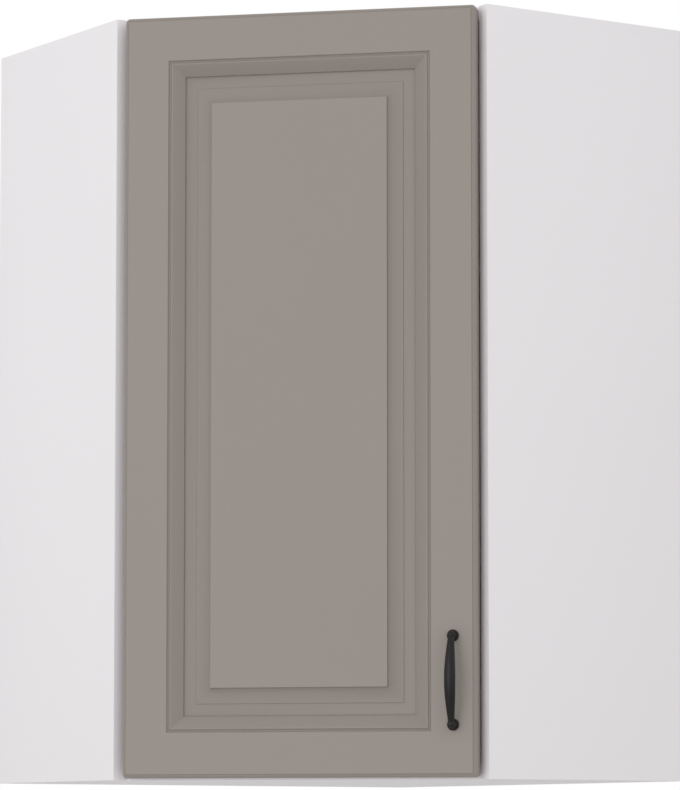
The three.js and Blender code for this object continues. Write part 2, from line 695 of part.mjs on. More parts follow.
function makeHandle() {
  const heights = Object.values(handleHeights);
  const cast = join(makeGrip(), ...heights.map(makeFoot));
  const holes = heights.map((z) =>
    rod(
      HANDLE_HOLE_RADIUS,
      [handleX, doorFaceY + OVERCUT, z],
      AXES.y.clone().negate(),
      OVERCUT + HANDLE_SCREW_BITE + HANDLE_HOLE_SPARE,
      FINE_SIDES,
    ),
  );
  return cut(cast, ...holes);
}
addPiece("handle", makeHandle(), blackIron, doorFrame);
for (const [name, z] of Object.entries(handleHeights)) {
  const seat = DOOR_BACK_Y + TURNED_GAP;
  const length = DOOR_THICKNESS + TURNED_GAP + HANDLE_SCREW_BITE;
  const into = AXES.y.clone().negate();
  const bolt = screw(HANDLE_SCREW_HEAD, HANDLE_SCREW_RADIUS, length, [handleX, seat, z], into);
  addPiece(`${name}_handle_screw`, bolt, nickel, doorFrame);
}

// ---------------------------------------------------------------- hinges
// Points of the hinge are given from the door's hinge edge (u, along the door) and from its back face
// (v, into the cabinet), and turned into the room's X and Y.
function hingePoint(u, v) {
  const x = DOOR_LEFT_X + u;
  const y = DOOR_BACK_Y + v;
  return [(x - y) * HALF_SQRT, (x + y) * HALF_SQRT];
}

function makeCup(z) {
  const intoDoor = AXES.y.clone().negate();
  const seat = DOOR_BACK_Y + TURNED_GAP;
  const flangeTop = seat + FLANGE_THICKNESS;
  const flange = prism(flangeOutline(), 0, FLANGE_THICKNESS);
  flange.rotateX(Math.PI / 2).translate(0, flangeTop, z);
  const height = FLANGE_THICKNESS + TURNED_GAP + CUP_DEPTH;
  const shell = rod(CUP_RADIUS, [cupX, flangeTop, z], intoDoor, height, CUP_SIDES);
  const hollow = rod(
    CUP_RADIUS - CUP_WALL,
    [cupX, flangeTop + OVERCUT, z],
    intoDoor,
    height + OVERCUT - CUP_FLOOR,
    CUP_SIDES,
  );
  const pivotX = DOOR_LEFT_X + PIVOT_FROM_EDGE;
  const pivotY = DOOR_BACK_Y - PIVOT_DEPTH;
  const earInner = ARM_HALF_WIDTH + EAR_GAP;
  const ears = [-1, 1].map((side) =>
    block(
      [pivotX - EYE_RADIUS, pivotX + EYE_RADIUS],
      [DOOR_BACK_Y - CUP_DEPTH, pivotY + EYE_RADIUS],
      [earInner, earInner + EAR_THICKNESS],
    )
      .scale(1, 1, side)
      .translate(0, 0, z),
  );
  const pinReach = earInner + PIN_BITE + TURNED_GAP;
  const pinFrom = [pivotX, pivotY, z - pinReach];
  const pinHole = rod(PIN_RADIUS + PIN_SLACK, pinFrom, AXES.z, 2 * pinReach, FINE_SIDES);
  const through = FLANGE_THICKNESS + 2 * OVERCUT;
  const screwHoles = [-1, 1].map((side) => {
    const from = [cupScrewX, flangeTop + OVERCUT, z + side * CUP_SCREW_HALF_PITCH];
    return rod(CUP_SCREW_RADIUS + SCREW_SLACK, from, intoDoor, through, PEG_SIDES);
  });
  const open = cut(join(flange, shell), hollow);
  const whole = join(open, ...ears.map((ear) => common(ear, shell)));
  return cut(whole, pinHole, ...screwHoles);
}

// The cup's flange: a plate with rounded ends, longer along the door's edge than across it.
function flangeOutline() {
  const points = [];
  const ends = [[1, 0], [-1, Math.PI]];
  for (const [side, start] of ends) {
    for (let k = 0; k <= 6; k++) {
      const angle = start + (k / 6) * Math.PI;
      points.push([
        cupScrewX + Math.cos(angle) * FLANGE_END_RADIUS,
        side * (FLANGE_HALF_HEIGHT - FLANGE_END_RADIUS) + Math.sin(angle) * FLANGE_END_RADIUS,
      ]);
    }
  }
  return points;
}

// The arm's middle line: from the pin into the cup's hollow, round the neck, back over the door's
// hinge edge, and along the side panel.
function armMiddleLine() {
  const line = [];
  const pivot = [PIVOT_FROM_EDGE, -PIVOT_DEPTH];
  line.push(pivot);
  const centre = [pivot[0] + NECK_REACH, pivot[1] + NECK_RADIUS];
  const steps = 8;
  for (let k = 0; k <= steps; k++) {
    const angle = -Math.PI / 2 + (k / steps) * Math.PI;
    const [across, up] = [Math.cos(angle), Math.sin(angle)];
    line.push([centre[0] + NECK_RADIUS * across, centre[1] + NECK_RADIUS * up]);
  }
  const over = centre[1] + NECK_RADIUS;
  line.push([armLineSum - over, over]);
  const along = ARM_LENGTH * HALF_SQRT;
  line.push([armLineSum - over - along, over + along]);
  return line;
}
// On the line that runs beside the side panel, u + v is the same everywhere.
const armLineSum = DOOR_STANDOFF - DOOR_SIDE_GAP + ARM_OFFSET * Math.SQRT2;

// A strip of even thickness round a middle line, as one closed outline.
function stripOutline(line, thickness) {
  const left = [];
  const right = [];
  line.forEach((point, i) => {
    const before = line[Math.max(i - 1, 0)];
    const after = line[Math.min(i + 1, line.length - 1)];
    const inDir = new THREE.Vector2(point[0] - before[0], point[1] - before[1]).normalize();
    const outDir = new THREE.Vector2(after[0] - point[0], after[1] - point[1]).normalize();
    const mean = inDir.clone().add(outDir).normalize();
    const stretch = i > 0 && i < line.length - 1 ? 1 / Math.max(mean.dot(outDir), 0.5) : 1;
    const offset = (thickness / 2) * stretch;
    left.push([point[0] - mean.y * offset, point[1] + mean.x * offset]);
    right.push([point[0] + mean.y * offset, point[1] - mean.x * offset]);
  });
  return [...left, ...right.reverse()];
}

const neckTop = 2 * NECK_RADIUS - PIVOT_DEPTH;
const armStart = hingePoint(armLineSum - neckTop, neckTop);
const armEndX = armStart[0] - ARM_LENGTH;
const armFaceY = -INNER_FACE + ARM_OFFSET + ARM_STRIP / 2;
const channelFootY = -INNER_FACE + PLATE_BASE + TURNED_GAP;
const plateX = SIDE_DEPTH - FRONT_HOLE_LINE;
const clampScrewX = plateX - CLAMP_SCREW_BACK;
const sideScrewX = plateX - SIDE_SCREW_BACK;
const ribFrontX = plateX + PLATE_RIB_FRONT;
const ribTopY = -INNER_FACE + ARM_OFFSET - ARM_STRIP / 2 - TURNED_GAP;

function makeArm(z) {
  const outline = stripOutline(armMiddleLine(), ARM_STRIP).map(([u, v]) => hingePoint(u, v));
  const strip = prism(outline, z - ARM_HALF_WIDTH, z + ARM_HALF_WIDTH);
  const pivot = hingePoint(PIVOT_FROM_EDGE, -PIVOT_DEPTH);
  const eye = rod(EYE_RADIUS, [...pivot, z - ARM_HALF_WIDTH], AXES.z, 2 * ARM_HALF_WIDTH, 16);
  const channelFrontX = armStart[0] - CHANNEL_SETBACK;
  const channel = block(
    [armEndX, channelFrontX],
    [channelFootY, armFaceY],
    [z - CHANNEL_HALF_WIDTH, z + CHANNEL_HALF_WIDTH],
  );
  const inside = block(
    [armEndX - OVERCUT, channelFrontX + OVERCUT],
    [channelFootY - OVERCUT, armFaceY - ARM_STRIP],
    [z - CHANNEL_HALF_WIDTH + CHANNEL_WALL, z + CHANNEL_HALF_WIDTH - CHANNEL_WALL],
  );
  const pinReach = ARM_HALF_WIDTH + OVERCUT;
  const pinHole = rod(PIN_RADIUS + PIN_SLACK, [...pivot, z - pinReach], AXES.z, 2 * pinReach, FINE_SIDES);
  const into = AXES.y.clone().negate();
  const screwSlots = [clampScrewX, sideScrewX].map((x) => {
    const from = [x, armFaceY + OVERCUT, z];
    return rod(ARM_SCREW_RADIUS + SCREW_SLACK, from, into, ARM_STRIP + 2 * OVERCUT, FINE_SIDES);
  });
  return cut(join(strip, eye, cut(channel, inside)), pinHole, ...screwSlots);
}

function makePlate(z) {
  const base = block(
    [plateX - PLATE_WIDTH / 2, plateX + PLATE_WIDTH / 2],
    [-INNER_FACE, -INNER_FACE + PLATE_BASE],
    [z - PLATE_HALF_HEIGHT, z + PLATE_HALF_HEIGHT],
  );
  const rib = block(
    [ribFrontX - PLATE_RIB_LENGTH, ribFrontX],
    [-INNER_FACE, ribTopY],
    [z - PLATE_RIB_HALF_WIDTH, z + PLATE_RIB_HALF_WIDTH],
  );
  const into = AXES.y.clone().negate();
  const holes = [-1, 1].map((side) => {
    const from = [plateX, -INNER_FACE + PLATE_BASE + OVERCUT, z + (side * HOLE_PITCH) / 2];
    return rod(PEG_HOLE_RADIUS, from, into, PLATE_BASE + 2 * OVERCUT, PEG_SIDES);
  });
  const threads = [clampScrewX, sideScrewX].map((x) =>
    rod(ARM_SCREW_RADIUS, [x, ribTopY + OVERCUT, z], into, THREAD_DEPTH + OVERCUT, FINE_SIDES),
  );
  return cut(join(base, rib), ...holes, ...threads);
}

// The screws' shanks are a little thinner than the holes they are driven into.
const armShank = ARM_SCREW_RADIUS - 0.2;
const pinHalf = ARM_HALF_WIDTH + EAR_GAP + PIN_BITE;
const pinPlace = hingePoint(PIVOT_FROM_EDGE, -PIVOT_DEPTH);
const cupSeatY = DOOR_BACK_Y + 2 * TURNED_GAP + FLANGE_THICKNESS;
const plateScrewLength = PLATE_BASE + PEG_HOLE_DEPTH - OVERCUT;
for (const [name, z] of Object.entries(HINGE_HEIGHTS)) {
  const into = AXES.y.clone().negate();
  addPiece(`${name}_hinge_cup`, makeCup(z), nickel, doorFrame);
  addPiece(`${name}_hinge_arm`, makeArm(z), nickel);
  addPiece(`${name}_hinge_plate`, makePlate(z), nickel);
  const pin = rod(PIN_RADIUS, [...pinPlace, z - pinHalf], AXES.z, 2 * pinHalf, FINE_SIDES);
  addPiece(`${name}_hinge_pin`, pin, zinc);
  [-1, 1].forEach((side, i) => {
    const seat = [plateX, -INNER_FACE + PLATE_BASE, z + (side * HOLE_PITCH) / 2];
    const fixing = screw(PLATE_SCREW_HEAD, PLATE_SCREW_RADIUS, plateScrewLength, seat, into);
    addPiece(`${name}_hinge_plate_screw_${i + 1}`, fixing, nickel);
    const cupSeat = [cupScrewX, cupSeatY, z + side * CUP_SCREW_HALF_PITCH];
    const cupScrew = screw(CUP_SCREW_HEAD, CUP_SCREW_RADIUS, CUP_SCREW_LENGTH, cupSeat, into);
    addPiece(`${name}_hinge_cup_screw_${i + 1}`, cupScrew, nickel, doorFrame);
  });
  const clampSeat = [clampScrewX, armFaceY, z];
  const clamp = screw(CLAMP_SCREW_HEAD, armShank, ARM_SCREW_LENGTH, clampSeat, into);
  addPiece(`${name}_hinge_clamp_screw`, clamp, nickel);
  const side = screw(SIDE_SCREW_HEAD, armShank, ARM_SCREW_LENGTH, [sideScrewX, armFaceY, z], into);
  addPiece(`${name}_hinge_side_screw`, side, nickel);
}

// ---------------------------------------------------------------- wall hangers
const hangerY = -(BACK_RECESS + BACK_BOARD); // its rear face rests on the back board
const hangerZ = INNER_TOP - HANGER_HEIGHT;
const hookX = INNER_FACE - HANGER_WIDTH / 2 - HOOK_THICKNESS / 2;
const hookZ = hangerZ + HOOK_SEAT;
const hangerFrontY = hangerY - HANGER_DEPTH;

function makeHangerCase() {
  const shell = block([INNER_FACE - HANGER_WIDTH, INNER_FACE], [hangerFrontY, hangerY], [hangerZ, INNER_TOP]);
  const hollow = block(
    [hookX - HOOK_SLACK, hookX + HOOK_THICKNESS + HOOK_SLACK],
    [hangerFrontY + HANGER_NOSE, hangerY + OVERCUT],
    [hookZ - HOOK_SLACK, hookZ + HOOK_HEIGHT + HOOK_SLACK],
  );
  const screwHole = rod(
    HOOK_SCREW_RADIUS + SCREW_SLACK,
    [hookX + HOOK_THICKNESS / 2, hangerFrontY - OVERCUT, hookZ + HOOK_HEIGHT / 2],
    AXES.y,
    HANGER_NOSE + 2 * OVERCUT,
    FINE_SIDES,
  );
  const pocket = block(
    [INNER_FACE - HANGER_WIDTH + HANGER_WALL, INNER_FACE - HANGER_WALL],
    [hangerFrontY - OVERCUT, hangerFrontY + HANGER_WALL],
    [hangerZ + HANGER_WALL * 2, hookZ - HANGER_WALL * 2],
  );
  return cut(shell, hollow, screwHole, pocket);
}

function makeHook() {
  const rear = -HOOK_FROM_WALL;
  const front = hangerFrontY + HANGER_NOSE + HOOK_SLACK;
  const bar = block([hookX, hookX + HOOK_THICKNESS], [front, rear], [hookZ, hookZ + HOOK_HEIGHT]);
  const tip = block([hookX, hookX + HOOK_THICKNESS], [rear - HOOK_TIP, rear], [hookZ - HOOK_DROP, hookZ]);
  return join(bar, tip);
}

function makeHookScrew() {
  const seat = [hookX + HOOK_THICKNESS / 2, hangerFrontY, hookZ + HOOK_HEIGHT / 2];
  return screw(HOOK_SCREW_HEAD, HOOK_SCREW_RADIUS, HANGER_NOSE, seat, AXES.y);
}

for (const [side, place] of [["right", (g) => g], ["left", mirrored]]) {
  addPiece(`${side}_hanger_case`, place(makeHangerCase()), whitePlastic);
  addPiece(`${side}_hanger_hook`, place(makeHook()), zinc);
  addPiece(`${side}_hanger_screw`, place(makeHookScrew()), zinc);
}

// ---------------------------------------------------------------- door buffers
for (const [name, z] of [["lower", BOARD / 2], ["upper", CABINET_HEIGHT - BOARD / 2]]) {
  const height = DOOR_STANDOFF + FRONT_SETBACK - 2 * TURNED_GAP;
  const profile = [
    [0, 0],
    [BUFFER_RADIUS, 0],
    [BUFFER_RADIUS * 0.9, height * 0.6],
    [BUFFER_RADIUS * 0.5, height],
    [0, height],
  ];
  const seat = [DOOR_WIDTH / 2 - BUFFER_FROM_EDGE, DOOR_BACK_Y + TURNED_GAP, z];
  addPiece(`${name}_door_buffer`, turned(profile, seat, AXES.y, 16), clearRubber, doorFrame);
}

export default cabinet;
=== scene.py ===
# %% [markdown]
# # Dressing a corner wall cabinet
# The real thing is a kitchen wall cabinet for the corner of a room: a five-sided case of coated
# chipboard, loose shelves, and one routed door set at 45 degrees. The CAD model gives every solid its
# true size. This script loads those solids and gives each the shape and finish that the eye expects.

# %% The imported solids
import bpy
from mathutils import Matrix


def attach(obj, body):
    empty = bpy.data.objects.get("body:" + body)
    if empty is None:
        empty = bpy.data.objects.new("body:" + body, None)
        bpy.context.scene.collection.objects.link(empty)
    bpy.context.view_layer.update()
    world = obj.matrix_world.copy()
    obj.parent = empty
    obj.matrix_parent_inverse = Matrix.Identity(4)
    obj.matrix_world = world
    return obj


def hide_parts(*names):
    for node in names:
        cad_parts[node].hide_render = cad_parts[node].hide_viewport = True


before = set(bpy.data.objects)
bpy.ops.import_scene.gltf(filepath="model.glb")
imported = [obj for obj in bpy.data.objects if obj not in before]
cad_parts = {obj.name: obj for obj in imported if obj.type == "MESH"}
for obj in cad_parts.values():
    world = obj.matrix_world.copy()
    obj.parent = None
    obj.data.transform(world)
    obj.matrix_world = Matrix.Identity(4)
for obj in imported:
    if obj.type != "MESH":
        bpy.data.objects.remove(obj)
print("solids loaded:", len(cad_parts))

# %% Tools, units and the CAD model's box
import math

import bmesh
import bpy
from mathutils import Vector

MM = 0.001
QUARTER_TURN = math.pi / 2
FULL_TURN = 2 * math.pi
scene = bpy.context.scene
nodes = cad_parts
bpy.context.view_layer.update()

# %% [markdown]
# ## Directions
# The door stands at 45 degrees to both walls, so its own directions are handier than X and Y:
# along the door from hinges to handle, inward from the door to the room's corner, and up.

# %% Directions of the door
ALONG = Vector((1, 1, 0)).normalized()
INWARD = Vector((-1, 1, 0)).normalized()
UP = Vector((0, 0, 1))


def at_door(along, inward, up):
    """A point given along the door, into the corner and up, all in millimetres."""
    return (ALONG * along + INWARD * inward + UP * up) * MM


DOOR_WIDTH = 418.04
DOOR_HEIGHT = 896
DOOR_THICKNESS = 20
DOOR_BACK = -616.98
DOOR_FACE = DOOR_BACK - DOOR_THICKNESS
DOOR_MIDDLE = 450
print("door face's middle:", at_door(0, DOOR_FACE, DOOR_MIDDLE))

# %% [markdown]
# ## The camera
# The photograph was taken from a little below the cabinet with a long lens, and the upright edges are
# nearly parallel. A lens with a small upward shift gives both. The numbers come from fitting the
# cabinet's corners to where the photograph shows them.

# %% Camera
IMAGE_HEIGHT = 790
FOCAL_PIXELS = 4018.7
SENSOR = 36
LENS_SHIFT = 0.1
CAMERA_PLACE = (980.4, -5173.7, -77.6)  # along the door, inward and up
CAMERA_TURN = math.radians(-11.592)
CAMERA_TILT = math.radians(5.305)


def add_object(name, data):
    """Puts a mesh, a camera or a lamp in the scene."""
    thing = bpy.data.objects.new(name, data)
    scene.collection.objects.link(thing)
    return thing


camera = bpy.data.cameras.new("studio_camera")
camera.sensor_width = SENSOR
camera.lens = SENSOR * FOCAL_PIXELS / IMAGE_HEIGHT
camera.shift_y = LENS_SHIFT
camera_object = add_object("studio_camera", camera)
camera_object.location = at_door(*CAMERA_PLACE)
level = ALONG * math.sin(CAMERA_TURN) + INWARD * math.cos(CAMERA_TURN)
line_of_sight = level * math.cos(CAMERA_TILT) + UP * math.sin(CAMERA_TILT)
camera_object.rotation_euler = line_of_sight.to_track_quat("-Z", "Y").to_euler()
scene.camera = camera_object
print("camera at", camera_object.location, "lens", round(camera.lens, 1), "mm")

# %% [markdown]
# ## Writing shader sums as Python
# A node tree for a finish is mostly arithmetic. The class below wraps one socket, so that
# `1 - mask * 0.5` adds the right Math nodes by itself, and `make` adds any other node.

# %% A wire between nodes
class Wire:
    """One socket of a node tree, or the bare tree to start from."""

    def __init__(self, tree, socket=None):
        self.tree = tree
        self.socket = socket

    def plug(self, socket, value):
        """Links a wire to a socket, or types a plain value into it."""
        if isinstance(value, Wire):
            self.tree.links.new(value.socket, socket)
        else:
            socket.default_value = value

    def make(self, kind, settings=None, sockets=None, output=0):
        """Adds a node: its settings first, then the values or links of its sockets."""
        node = self.tree.nodes.new(kind)
        for name, value in (settings or {}).items():
            if name == "stops":
                set_stops(node.color_ramp, value)
            else:
                setattr(node, name, value)
        for name, value in (sockets or {}).items():
            self.plug(node.inputs[name], value)
        return Wire(self.tree, node.outputs[output] if node.outputs else None)

    def maths(self, operation, *others):
        """A Math node that has this value first."""
        return self.make("ShaderNodeMath", {"operation": operation}, dict(enumerate((self, *others))))

    def __add__(self, other):
        return self.maths("ADD", other)

    def __sub__(self, other):
        return self.maths("SUBTRACT", other)

    def __mul__(self, other):
        return self.maths("MULTIPLY", other)

    def __truediv__(self, other):
        return self.maths("DIVIDE", other)

    def __gt__(self, other):
        return self.maths("GREATER_THAN", other)

    def __lt__(self, other):
        return self.maths("LESS_THAN", other)

    def __rsub__(self, other):
        return self.make("ShaderNodeMath", {"operation": "SUBTRACT"}, {0: other, 1: self})

    __radd__ = __add__
    __rmul__ = __mul__

    def either(self, other):
        """1 where this mask or the other is 1."""
        return self.maths("MAXIMUM", other)

    def near(self, distance):
        """1 where this value is within a distance of nought."""
        return self.maths("ABSOLUTE") < distance

    def paint(self, low, high):
        """A colour between two, with this value as the share of the second."""
        sockets = {0: self, 6: low, 7: high}
        return self.make("ShaderNodeMix", {"data_type": "RGBA"}, sockets, 2)

    def parts(self):
        """The three numbers of a vector."""
        split = self.make("ShaderNodeSeparateXYZ", sockets={0: self})
        return [Wire(self.tree, socket) for socket in split.socket.node.outputs]

    def stretched(self, scale):
        """A place scaled by a vector, for patterns that run in one direction."""
        return self.make("ShaderNodeVectorMath", {"operation": "MULTIPLY"}, {0: self, 1: scale})

    def noise(self, scale, detail=2.0, roughness=0.5):
        """A cloudy pattern from 0 to 1, about so many clouds to the metre."""
        sockets = {"Vector": self, "Scale": scale, "Detail": detail, "Roughness": roughness}
        return self.make("ShaderNodeTexNoise", sockets=sockets)

    def cells(self, scale):
        """Flat cells of random shades, as chips or crystals are."""
        color = self.make("ShaderNodeTexVoronoi", sockets={"Vector": self, "Scale": scale}, output=1)
        return color.make("ShaderNodeRGBToBW", sockets={0: color})

    def bump(self, strength, distance):
        """A surface raised by this value, as the normal that a shader reads."""
        sockets = {"Height": self, "Strength": strength, "Distance": distance}
        return self.make("ShaderNodeBump", sockets=sockets)


def set_stops(ramp, stops):
    """A colour ramp starts with two stops, so only the ones between are added."""
    ramp.elements[0].position, ramp.elements[0].color = stops[0]
    ramp.elements[1].position, ramp.elements[1].color = stops[-1]
    for position, color in stops[1:-1]:
        ramp.elements.new(position).color = color


print("a wire can add, subtract, multiply, divide and compare")

# %% Colours, and the two ends of a finish
def tone(red, green, blue):
    """A screen colour, 0 to 255, as the linear one that a shader works with."""
    linear = [((c / 255 + 0.055) / 1.055) ** 2.4 for c in (red, green, blue)]
    return (*linear, 1.0)


def new_finish(name):
    """An empty material, and the place on the piece in metres as its first wire."""
    material = bpy.data.materials.new(name)
    material.use_nodes = True
    material.node_tree.nodes.clear()
    start = Wire(material.node_tree)
    return material, start.make("ShaderNodeTexCoord", output=3)


def close_finish(place, sockets):
    """Ends a finish in its surface shader."""
    shader = place.make("ShaderNodeBsdfPrincipled", sockets=sockets)
    place.make("ShaderNodeOutputMaterial", sockets={"Surface": shader})


print("a middle grey of 128 is", round(tone(128, 128, 128)[0], 3), "to a shader")

# %% [markdown]
# ## White coated board
# The carcass is chipboard with a melamine skin: matt, very slightly pebbled, a cold white. The edges
# that face the walls are never banded, so there the raw chips show. A mask worked out from the place
# tells them apart, so one finish serves every board.

# %% White board
RAW_EDGE = 0.00016  # metres from the wall's plane
BAND_LINE = 0.2852  # metres from the wall's plane to the front edge's strip
LINE_HALF_WIDTH = 0.00005
BOARD_LOW = (235, 232, 235)
BOARD_HIGH = (237, 234, 237)
GLUE_TONE = (120, 112, 104)
CHIPS_PER_METRE = 420
PEBBLES_PER_METRE = 900


def chipboard_color(place):
    chips = place.cells(CHIPS_PER_METRE)
    dust = place.noise(1500, 3)
    stops = [(0.1, tone(122, 92, 60)), (0.5, tone(176, 143, 102)), (0.9, tone(205, 178, 138))]
    return place.make("ShaderNodeValToRGB", {"stops": stops}, {0: chips * 0.75 + dust * 0.25})


def white_board(name, banded):
    """White melamine. A banded board shows the fine joint where its front edge's strip begins."""
    material, place = new_finish(name)
    x, y = place.parts()[:2]
    raw = (y > -RAW_EDGE).either(x < RAW_EDGE)
    cloud = place.noise(3.5, 2)
    white = cloud.paint(tone(*BOARD_LOW), tone(*BOARD_HIGH))
    pebble = place.noise(PEBBLES_PER_METRE, 3, 0.6)
    height = pebble * (1 - raw) + place.noise(450, 4) * raw * 4
    if banded:
        joint = (y + BAND_LINE).near(LINE_HALF_WIDTH).either((x - BAND_LINE).near(LINE_HALF_WIDTH))
        white = (joint * 0.25).paint(white, tone(*GLUE_TONE))
        height = height - joint
    sockets = {
        "Base Color": raw.paint(white, chipboard_color(place)),
        "Roughness": 0.46 + pebble * 0.12 + raw * 0.3,
        "Normal": height.bump(0.18, 0.0002),
    }
    close_finish(place, sockets)
    return material


board_finish = white_board("white_melamine_board", False)
side_finish = white_board("white_banded_board", True)
print("made", board_finish.name, "and", side_finish.name)

# %% [markdown]
# ## Hardboard
# The two backs are thin hardboard: lacquered white on the side that shows inside, and left brown and
# fibrous on the side towards the wall. Only their place tells the two sides apart.

# %% Hardboard
BACK_SPLIT = 0.0185  # metres from the wall's plane to the middle of the board


def hardboard():
    material, place = new_finish("lacquered_hardboard")
    x, y = place.parts()[:2]
    wall_side = (y > -BACK_SPLIT).either(x < BACK_SPLIT)
    fibres = place.stretched((260, 260, 60)).noise(1.0, 4, 0.7)
    brown = fibres.paint(tone(104, 72, 46), tone(150, 112, 76))
    lacquer = place.noise(4, 2).paint(tone(222, 220, 219), tone(228, 226, 225))
    sockets = {
        "Base Color": wall_side.paint(lacquer, brown),
        "Roughness": 0.4 + wall_side * 0.35 + fibres * 0.1,
        "Normal": (fibres * (0.3 + wall_side)).bump(0.25, 0.0002),
    }
    close_finish(place, sockets)
    return material


back_finish = hardboard()
print("made", back_finish.name)

# %% [markdown]
# ## The door's covering
# The door is routed from fibreboard and covered in one piece by a warm grey skin, drawn down into every
# groove. It is satin and almost even: only a faint cloudiness and a fine grain in the gloss. Over the
# edges and mouldings the colour carries a painted shade, a touch darker, that stands in for the shade in
# the grooves, and the gloss there is a little sleeker. A distance from the door's edge tells where. The
# back is plain white, like the boards.

# %% Door covering
DOOR_LOW = (146, 138, 131)
DOOR_HIGH = (149, 141, 134)
# painted shade: a warm dark tone, mixed in at the share below over the edges and mouldings, stands in for
# the shade in the grooves
PAINTED_SHADE_TONE = (44, 22, 6)
PAINTED_MOULDING_SHADE = 0.11
FLAT_BORDER = (0.0044, 0.0524)  # metres in from the door's edge, as the next two are
FLAT_LIP = (0.0568, 0.0577)
FIELD_START = 0.1044


def distance_inside(value, half):
    """How far a place lies inside two opposite edges of the door."""
    return half * MM - value.maths("ABSOLUTE")


def door_skin():
    material, place = new_finish("warm_grey_door_skin")
    x, y, z = place.parts()
    from_side = distance_inside((x + y) * math.sqrt(0.5), DOOR_WIDTH / 2)
    from_end = distance_inside(z - DOOR_MIDDLE * MM, DOOR_HEIGHT / 2)
    inset = from_side.maths("MINIMUM", from_end)
    flat = inset > FIELD_START
    for start, end in (FLAT_BORDER, FLAT_LIP):
        flat = flat + (inset > start) * (inset < end)
    # the edges and mouldings: there the colour gets a painted shade and the gloss is a little sleeker
    stretched = 1 - flat
    cloud = place.noise(7, 3)
    grain = place.noise(1400, 3, 0.6)
    skin = cloud.paint(tone(*DOOR_LOW), tone(*DOOR_HIGH))
    sockets = {
        # painted shade: the edges and mouldings are darkened towards a warm brown
        "Base Color": (stretched * PAINTED_MOULDING_SHADE).paint(skin, tone(*PAINTED_SHADE_TONE)),
        "Roughness": 0.42 + cloud * 0.06 + grain * 0.08 - stretched * 0.03,
        "Normal": grain.bump(0.1, 0.00015),
    }
    close_finish(place, sockets)
    return material


def door_back():
    material, place = new_finish("white_door_back")
    pebble = place.noise(PEBBLES_PER_METRE, 3, 0.6)
    sockets = {
        "Base Color": place.noise(3, 2).paint(tone(224, 222, 222), tone(229, 227, 227)),
        "Roughness": 0.45 + pebble * 0.12,
        "Normal": pebble.bump(0.15, 0.0002),
    }
    close_finish(place, sockets)
    return material


door_finish = door_skin()
door_back_finish = door_back()
print("made", door_finish.name, "and", door_back_finish.name)

# %% [markdown]
# ## Blackened iron
# The handle is a small casting, blackened and waxed. Castings keep the sand's texture, so the surface
# is bumpy at two sizes, and the high spots are rubbed a little smoother and greyer than the hollows.

# %% Blackened iron
def blackened_iron():
    material, place = new_finish("blackened_iron")
    sand = place.noise(1100, 3, 0.6)
    lumps = place.noise(260, 2)
    relief = lumps * 0.6 + sand * 0.4
    high = relief.make("ShaderNodeMapRange", sockets={0: relief, 1: 0.42, 2: 0.68})
    sockets = {
        "Base Color": high.paint(tone(14, 11, 10), tone(24, 21, 21)),
        "Specular IOR Level": 0.3,
        "Roughness": 0.36 - high * 0.06,
        "Normal": relief.bump(0.14, 0.0002),
    }
    close_finish(place, sockets)
    return material


iron_finish = blackened_iron()
print("made", iron_finish.name)

# %% [markdown]
# ## Plated and plain metals
# Hinges, pins and screws are steel with a thin bright plating; the connectors and hooks are duller
# zinc. Pressed steel is rolled first, so it shines in faint streaks; cast and dipped zinc is mottled.

# %% Metals
SPANGLES_PER_METRE = 420


def plated_steel(name, low, high, streak_scale, roughness):
    """Bright plated steel. Its streaks are fine in the direction that has the large scale."""
    material, place = new_finish(name)
    streaks = place.stretched(streak_scale).noise(1.0, 4, 0.65)
    smudge = place.noise(90, 2)
    sockets = {
        "Base Color": smudge.paint(tone(*low), tone(*high)),
        "Metallic": 1.0,
        "Roughness": roughness + streaks * 0.12 + smudge * 0.08,
        "Normal": streaks.bump(0.08, 0.0001),
    }
    close_finish(place, sockets)
    return material


def dipped_zinc():
    material, place = new_finish("dipped_zinc")
    shade = place.cells(SPANGLES_PER_METRE)
    sockets = {
        "Base Color": shade.paint(tone(160, 166, 172), tone(198, 202, 206)),
        "Metallic": 1.0,
        "Roughness": 0.38 + shade * 0.16,
        "Normal": place.noise(700, 3).bump(0.12, 0.0001),
    }
    close_finish(place, sockets)
    return material


hinge_finish = plated_steel(
    "nickel_pressed_steel", (196, 192, 186), (214, 211, 206), streak_scale=(150, 150, 2600), roughness=0.2
)
screw_finish = plated_steel(
    "nickel_turned_steel", (190, 187, 182), (212, 210, 206), streak_scale=(2200, 2200, 2200), roughness=0.22
)
zinc_finish = dipped_zinc()
print("made", hinge_finish.name, screw_finish.name, zinc_finish.name)

# %% [markdown]
# ## Moulded plastic and rubber
# The hangers' cases are moulded in white plastic with a spark-eroded grain. The door's two bumpers are
# a soft clear rubber, which looks milky because light scatters inside it.

# %% Plastic and rubber
def moulded_plastic():
    material, place = new_finish("white_moulded_plastic")
    grain = place.noise(1600, 2, 0.7)
    sockets = {
        "Base Color": place.noise(20, 2).paint(tone(224, 224, 220), tone(230, 230, 227)),
        "Roughness": 0.42 + grain * 0.16,
        "Normal": grain.bump(0.25, 0.0002),
    }
    close_finish(place, sockets)
    return material


def milky_rubber():
    material, place = new_finish("milky_rubber")
    cloud = place.noise(300, 2)
    sockets = {
        "Base Color": cloud.paint(tone(214, 214, 208), tone(226, 226, 222)),
        "Roughness": 0.32 + cloud * 0.1,
        "Subsurface Weight": 0.6,
        "Subsurface Radius": (0.002, 0.002, 0.0018),
    }
    close_finish(place, sockets)
    return material


plastic_finish = moulded_plastic()
rubber_finish = milky_rubber()
print("made", plastic_finish.name, "and", rubber_finish.name)

